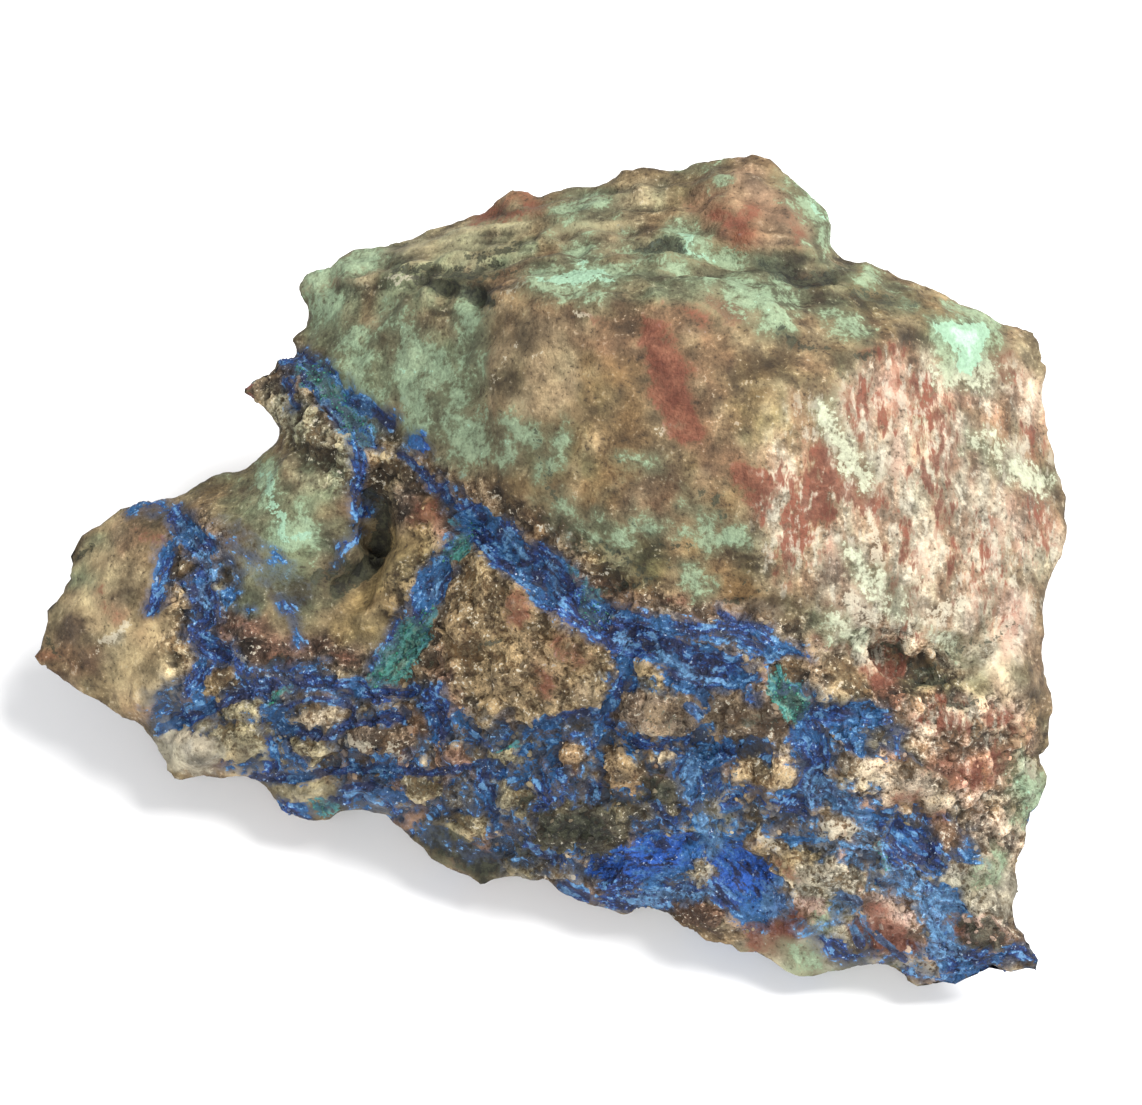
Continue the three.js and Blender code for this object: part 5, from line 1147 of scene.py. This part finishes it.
def skin_material():
    """The rock, its stains, films and veins, each laid over the last by its strength and noise,
    with soft edges. All the noises run from about -0.3 to 0.3 round nought."""
    material, tree, shader, where = fresh("ore")
    across = vector("DOT_PRODUCT", where, (1.0, 0.0, 0.0))
    upward = vector("DOT_PRODUCT", where, tuple(float(x) for x in UP_FACE))
    outward = vector("DOT_PRODUCT", where, tuple(float(x) for x in TOWARDS_EYE))
    blotch, bedding = field(tree, "blotch"), field(tree, "bedding")
    patchy = speckle(vector("ADD", where, (31.0, 7.0, 13.0)), 1.0, 4.0, 0.66) - 0.5
    fine = speckle(where, 0.4, 2.0, 0.6) - 0.5
    drawn = node(tree, "ShaderNodeCombineXYZ", X=across * 1.25, Y=upward * 0.4, Z=outward * 0.3)
    streak = speckle(drawn, 1.0, 3.0, 0.66) - 0.5
    fibres = vector("MULTIPLY", field(tree, "vein", "Vector"), (0.5, 2.0, 7.7))
    wisp = speckle(fibres, 1.0) - 0.5
    rough, striae, hollow = (field(tree, name) for name in ("rough", "striae", "hollow"))
    lively = 0.5 - field(tree, "calm") * 0.26 + rough * 1.04

    # bare rock: lighter and darker grains, warm dirt, and painted shade that darkens the hollows
    tone = field(tree, "tone", "Color")
    warm = vector("MULTIPLY", tone, (0.5, 0.41, 0.32))
    warm = mixed(field(tree, "mint").over(-0.5, 0.5) * 0.75, warm, OLIVE_DIRT)
    broad = patchy * (1.5 + rough * 1.7) + blotch * (1.7 + rough * 1.0)
    # brightness of the bare rock, lower in the hollows as painted shade
    light = 1.0 + fine * 1.5 * lively + broad + bedding * 2.4 - hollow * 0.4
    base = scaled(tone, (light + streak * striae * 1.8).most(0.25))
    # warm dirt in patches, laid thicker in the hollows as painted shade
    dirt_and_shade = (patchy * -1.0 + fine * -0.9 + blotch * -0.4 + hollow * 0.07).over(0.05, 0.15)
    base = mixed(dirt_and_shade * 0.7 * lively, base, scaled(warm, 1.0 + fine * 1.5))
    paler = (patchy + fine * 0.9 + blotch * 0.3).over(0.09, 0.17) * lively
    base = mixed(paler * 0.6, base, scaled(tone, 1.7 + fine * 2.0))
    # pale chalky grains, and painted glints: small pale specks in the broken rock
    chalk_and_glint = (fine.over(0.17, 0.21) * rough).most((patchy + fine + rough * 0.03).over(0.19, 0.26)) * 0.6
    base = mixed(chalk_and_glint * lively, base, CHALK_AND_GLINT)
    # dark specks, with more of them in the hollows as painted shade
    soot_and_shade = (fine * -1.0 + patchy * -0.5 + hollow * 0.06 + rough * 0.03).over(0.17, 0.25) * 0.6
    base = mixed(soot_and_shade, base, SOOT_AND_SHADE)

    # thin dark seams between the grains
    seam = (patchy.maths("ABSOLUTE") * -45.0 + 1.0).over(0.0, 1.0) * (rough * 0.5 + 0.12)
    base = mixed(seam, base, scaled(warm, 0.6))

    # pale crusts, and a painted glint
    crust_and_glint = (field(tree, "pale_and_glint") + patchy * 2.8 + fine * 2.2).over(0.36, 0.66)
    base = mixed(crust_and_glint * 0.62, base, CRUST_AND_GLINT)

    # red iron stain, streaky on the slip face
    breaking = streak * striae * 4.5 + (blotch * 1.8 + patchy * 1.4) * (1.0 - striae)
    rust = field(tree, "rust") + breaking + fine * 0.9
    red = mixed((patchy + blotch).over(-0.2, 0.25), IRON_DEEP, IRON)
    base = mixed(rust.over(-0.2, 0.7) * 0.36, base, IRON_HALO)
    base = mixed(rust.over(0.2, 0.75) * 0.8, base, scaled(red, 1.0 + fine * 1.2))
    ruddy = field(tree, "rust").over(-1.4, 0.5)
    flecks = (streak + patchy * 0.7 + blotch * 1.2).over(0.08, 0.2) * striae * (ruddy * 0.55 + 0.15)
    base = mixed(flecks, base, IRON_FLECK)
    tans = (streak * -1.0 + patchy * 0.7 + blotch * 0.5).over(0.04, 0.2) * striae * 0.5
    base = mixed(tans, base, SLIP_CREAM)

    # pale mint film: a thin dull stain, and thick bright patches with sharp edges
    body = field(tree, "mint")
    mint = body + blotch * 2.8 + patchy * 2.0 + fine * 1.0 + streak * striae * 2.5
    base = mixed(mint.over(-0.5, 0.5) * 0.5, base, MINT_STAIN)
    film = mixed((mint + patchy).over(0.2, 1.2), MINT_DULL, MINT_FILM)
    film = mixed(striae * 0.75, film, SLIP_FILM)
    film = scaled(film, 1.05 + fine * 1.1 + patchy * 1.1 + blotch * 0.9)
    base = mixed((mint + fine * 0.8).over(0.25, 0.75) * 0.74, base, film)
    thick = (body + patchy * 0.9 + blotch * 0.4 + fine * 0.5).over(0.95, 1.02)
    film = mixed((body + patchy * 0.4).over(1.3, 1.8), MINT_THICK, MINT_BRIGHT)
    base = mixed(thick * 0.88, base, scaled(film, 1.0 + fine * 0.8))

    # dark fissures and fragments, and painted shadow in hollows, under ledges and in cracks
    dark = (field(tree, "dark") + patchy * 2.4 + fine * 1.6).over(0.3, 0.66)
    pit_and_shadow = mixed(patchy.over(-0.05, 0.08), PIT_AND_SHADOW_BLACK, PIT_AND_SHADOW_OLIVE)
    base = mixed(dark * 0.86, base, pit_and_shadow)

    # deep green malachite
    green = (field(tree, "malachite") + patchy * 2.0 + wisp * 2.0 + fine * 1.4).over(0.3, 0.66)
    deep = mixed((patchy + wisp * 1.2).over(-0.08, 0.08), GREEN_DEEP, GREEN)
    deep = mixed((blotch + wisp).over(0.0, 0.1) * 0.5, deep, GREEN_TEAL)
    deep = mixed((patchy - wisp).over(0.04, 0.12) * 0.6, deep, GREEN_PALE)
    core = field(tree, "malachite").over(1.2, 1.5)
    deep = mixed(core * 0.85, deep, GREEN_CORE)
    base = mixed(green * 0.9, base, scaled(deep, 1.0 + fine * 2.4))

    # azurite, and the blue-grey wash round it
    azurite, lens = field(tree, "azurite"), field(tree, "lens")
    wash = (azurite + patchy * 1.6 + fine * 1.5 + blotch * 1.2).over(-0.6, 0.6) * 0.62
    sky = (field(tree, "sky") + patchy * 1.6 + wisp * 1.6).over(0.2, 0.8)
    base = mixed(wash, base, mixed(sky, WASH_GREY, WASH_SKY))
    vein = azurite * 1.1 - (1.0 - lens) * 0.1 + wisp * 2.6 + patchy * 2.2 + fine * 1.2 + blotch * 1.5
    line = (field(tree, "line") + patchy * 0.7 + blotch * 0.7).over(0.1, 0.5)
    blue = (vein - green * 0.35 - core * 0.6).over(0.3, 0.74).most(line * (1.0 - core) * 0.9)
    plain = mixed(lens, BLUE_VEIN, BLUE_LENS)
    vivid = mixed((wisp + patchy * 0.6 + lens * 0.08).over(-0.06, 0.08), BLUE_NIGHT, plain)
    vivid = mixed((blotch + wisp * 0.5).over(0.0, 0.12) * 0.65, vivid, BLUE_TEAL)
    vivid = mixed(sky * 0.75, vivid, BLUE_SKY)
    paleness = (wisp + patchy * 0.9 + fine * 0.3 + sky * 0.06).over(0.09, 0.19) * (1.0 - lens * 0.7)
    vivid = mixed(paleness * 0.75, vivid, BLUE_PALE)
    deeper = (patchy * -1.0 + fine * -0.6 + blotch * -0.5).over(0.07, 0.13).most(line * 0.5)
    vivid = mixed(deeper * (0.75 - lens * 0.35), vivid, BLUE_BLACK)
    # pale specks on the azurite: painted glints
    vivid = mixed(fine.over(0.17, 0.2) * 0.5, vivid, BLUE_GLINT)
    # the azurite is darker in the hollows: painted shade
    base = mixed(blue * 0.94, base, scaled(vivid, 1.25 + fine * 2.0 - hollow * 0.3))
    plug(tree, shader.inputs["Base Color"], base)

    # dull rock, with small bright cleavage faces in the broken part and on the crystals
    glint = fine.over(0.14, 0.17) * (rough * 0.8).most(blue * 0.8)
    plug(tree, shader.inputs["Roughness"], 0.84 - glint * 0.56 - blue * 0.16)
    grain = fine * (rough * 0.5 + 0.5)
    bump = node(tree, "ShaderNodeBump", Height=grain, Strength=0.85, Distance=0.5 * MM)
    plug(tree, shader.inputs["Normal"], bump)
    shader.inputs["Specular IOR Level"].default_value = 0.4
    return material


def grain_material(name, dark, light, roughness, clear, own_tone):
    """Crystals or grains: between two colours by each one's own shade, with a share of the
    rock's own tone where they have one, and a clear coat of that weight."""
    material, tree, shader, where = fresh(name)
    shade = field(tree, "shade")
    colour = mixed(shade, dark, light)
    if own_tone:
        colour = mixed(own_tone, colour, field(tree, "tone", "Color"))
        colour = scaled(colour, 0.6 + shade * 0.7)
    fine = speckle(where, 0.2, 2.0)
    plug(tree, shader.inputs["Base Color"], scaled(colour, 0.8 + fine * 0.4))
    shader.inputs["Roughness"].default_value = roughness
    shader.inputs["Coat Weight"].default_value = clear
    return material


# ---------------------------------------------------------------- the stage


def area_light(name, place, size, power, colour):
    """A square soft light at a place in metres, turned to the stone."""
    data = bpy.data.lights.new(name, "AREA")
    data.shape, data.size, data.energy, data.color = "SQUARE", size, power, colour
    obj = bpy.data.objects.new(name, data)
    obj.location = place
    ahead = np.array(LIT_PLACE) - np.array(place)
    climb = math.atan2(ahead[2], math.hypot(ahead[0], ahead[1]))
    obj.rotation_euler = (math.pi / 2 + climb, 0, math.atan2(ahead[1], ahead[0]) - math.pi / 2)
    bpy.context.scene.collection.objects.link(obj)


def make_stage():
    """A pale floor, a white world, one soft light from the upper right and a weak fill."""
    bpy.ops.mesh.primitive_plane_add(size=FLOOR_SIZE, location=(0, 0, 0))
    floor = bpy.context.object
    floor.name = "floor"
    material = bpy.data.materials.new("floor")
    material.use_nodes = True
    shader = material.node_tree.nodes["Principled BSDF"]
    shader.inputs["Base Color"].default_value = FLOOR_COLOUR
    shader.inputs["Roughness"].default_value = 0.9
    shader.inputs["Specular IOR Level"].default_value = 0.1
    floor.data.materials.append(material)
    world = bpy.data.worlds.new("studio")
    world.use_nodes = True
    sky = world.node_tree.nodes["Background"]
    sky.inputs["Color"].default_value = (1, 1, 1, 1)
    sky.inputs["Strength"].default_value = WORLD_STRENGTH
    bpy.context.scene.world = world
    for light in LIGHTS:
        area_light(*light)
    bpy.context.scene.view_settings.view_transform = "Standard"


def make_camera():
    """The eye that the face plane was laid out for, looking at right angles to that plane."""
    data = bpy.data.cameras.new("camera")
    data.sensor_width, data.sensor_fit = SENSOR, "HORIZONTAL"
    data.lens = SENSOR * FOCAL / FRAME_WIDTH
    camera = bpy.data.objects.new("camera", data)
    camera.location = (CENTRE + TOWARDS_EYE * SIGHT) * MM
    camera.rotation_euler = (math.pi / 2 - TILT, 0, 0)
    bpy.context.scene.collection.objects.link(camera)
    bpy.context.scene.camera = camera


skin, points, normals, faces, made = make_skin()
grains = make_grains(points, normals, faces, made)
skin.data.materials.append(skin_material())
for grain, finish in zip(grains, FINISHES):
    grain.data.materials.append(grain_material(*finish))
make_stage()
make_camera()
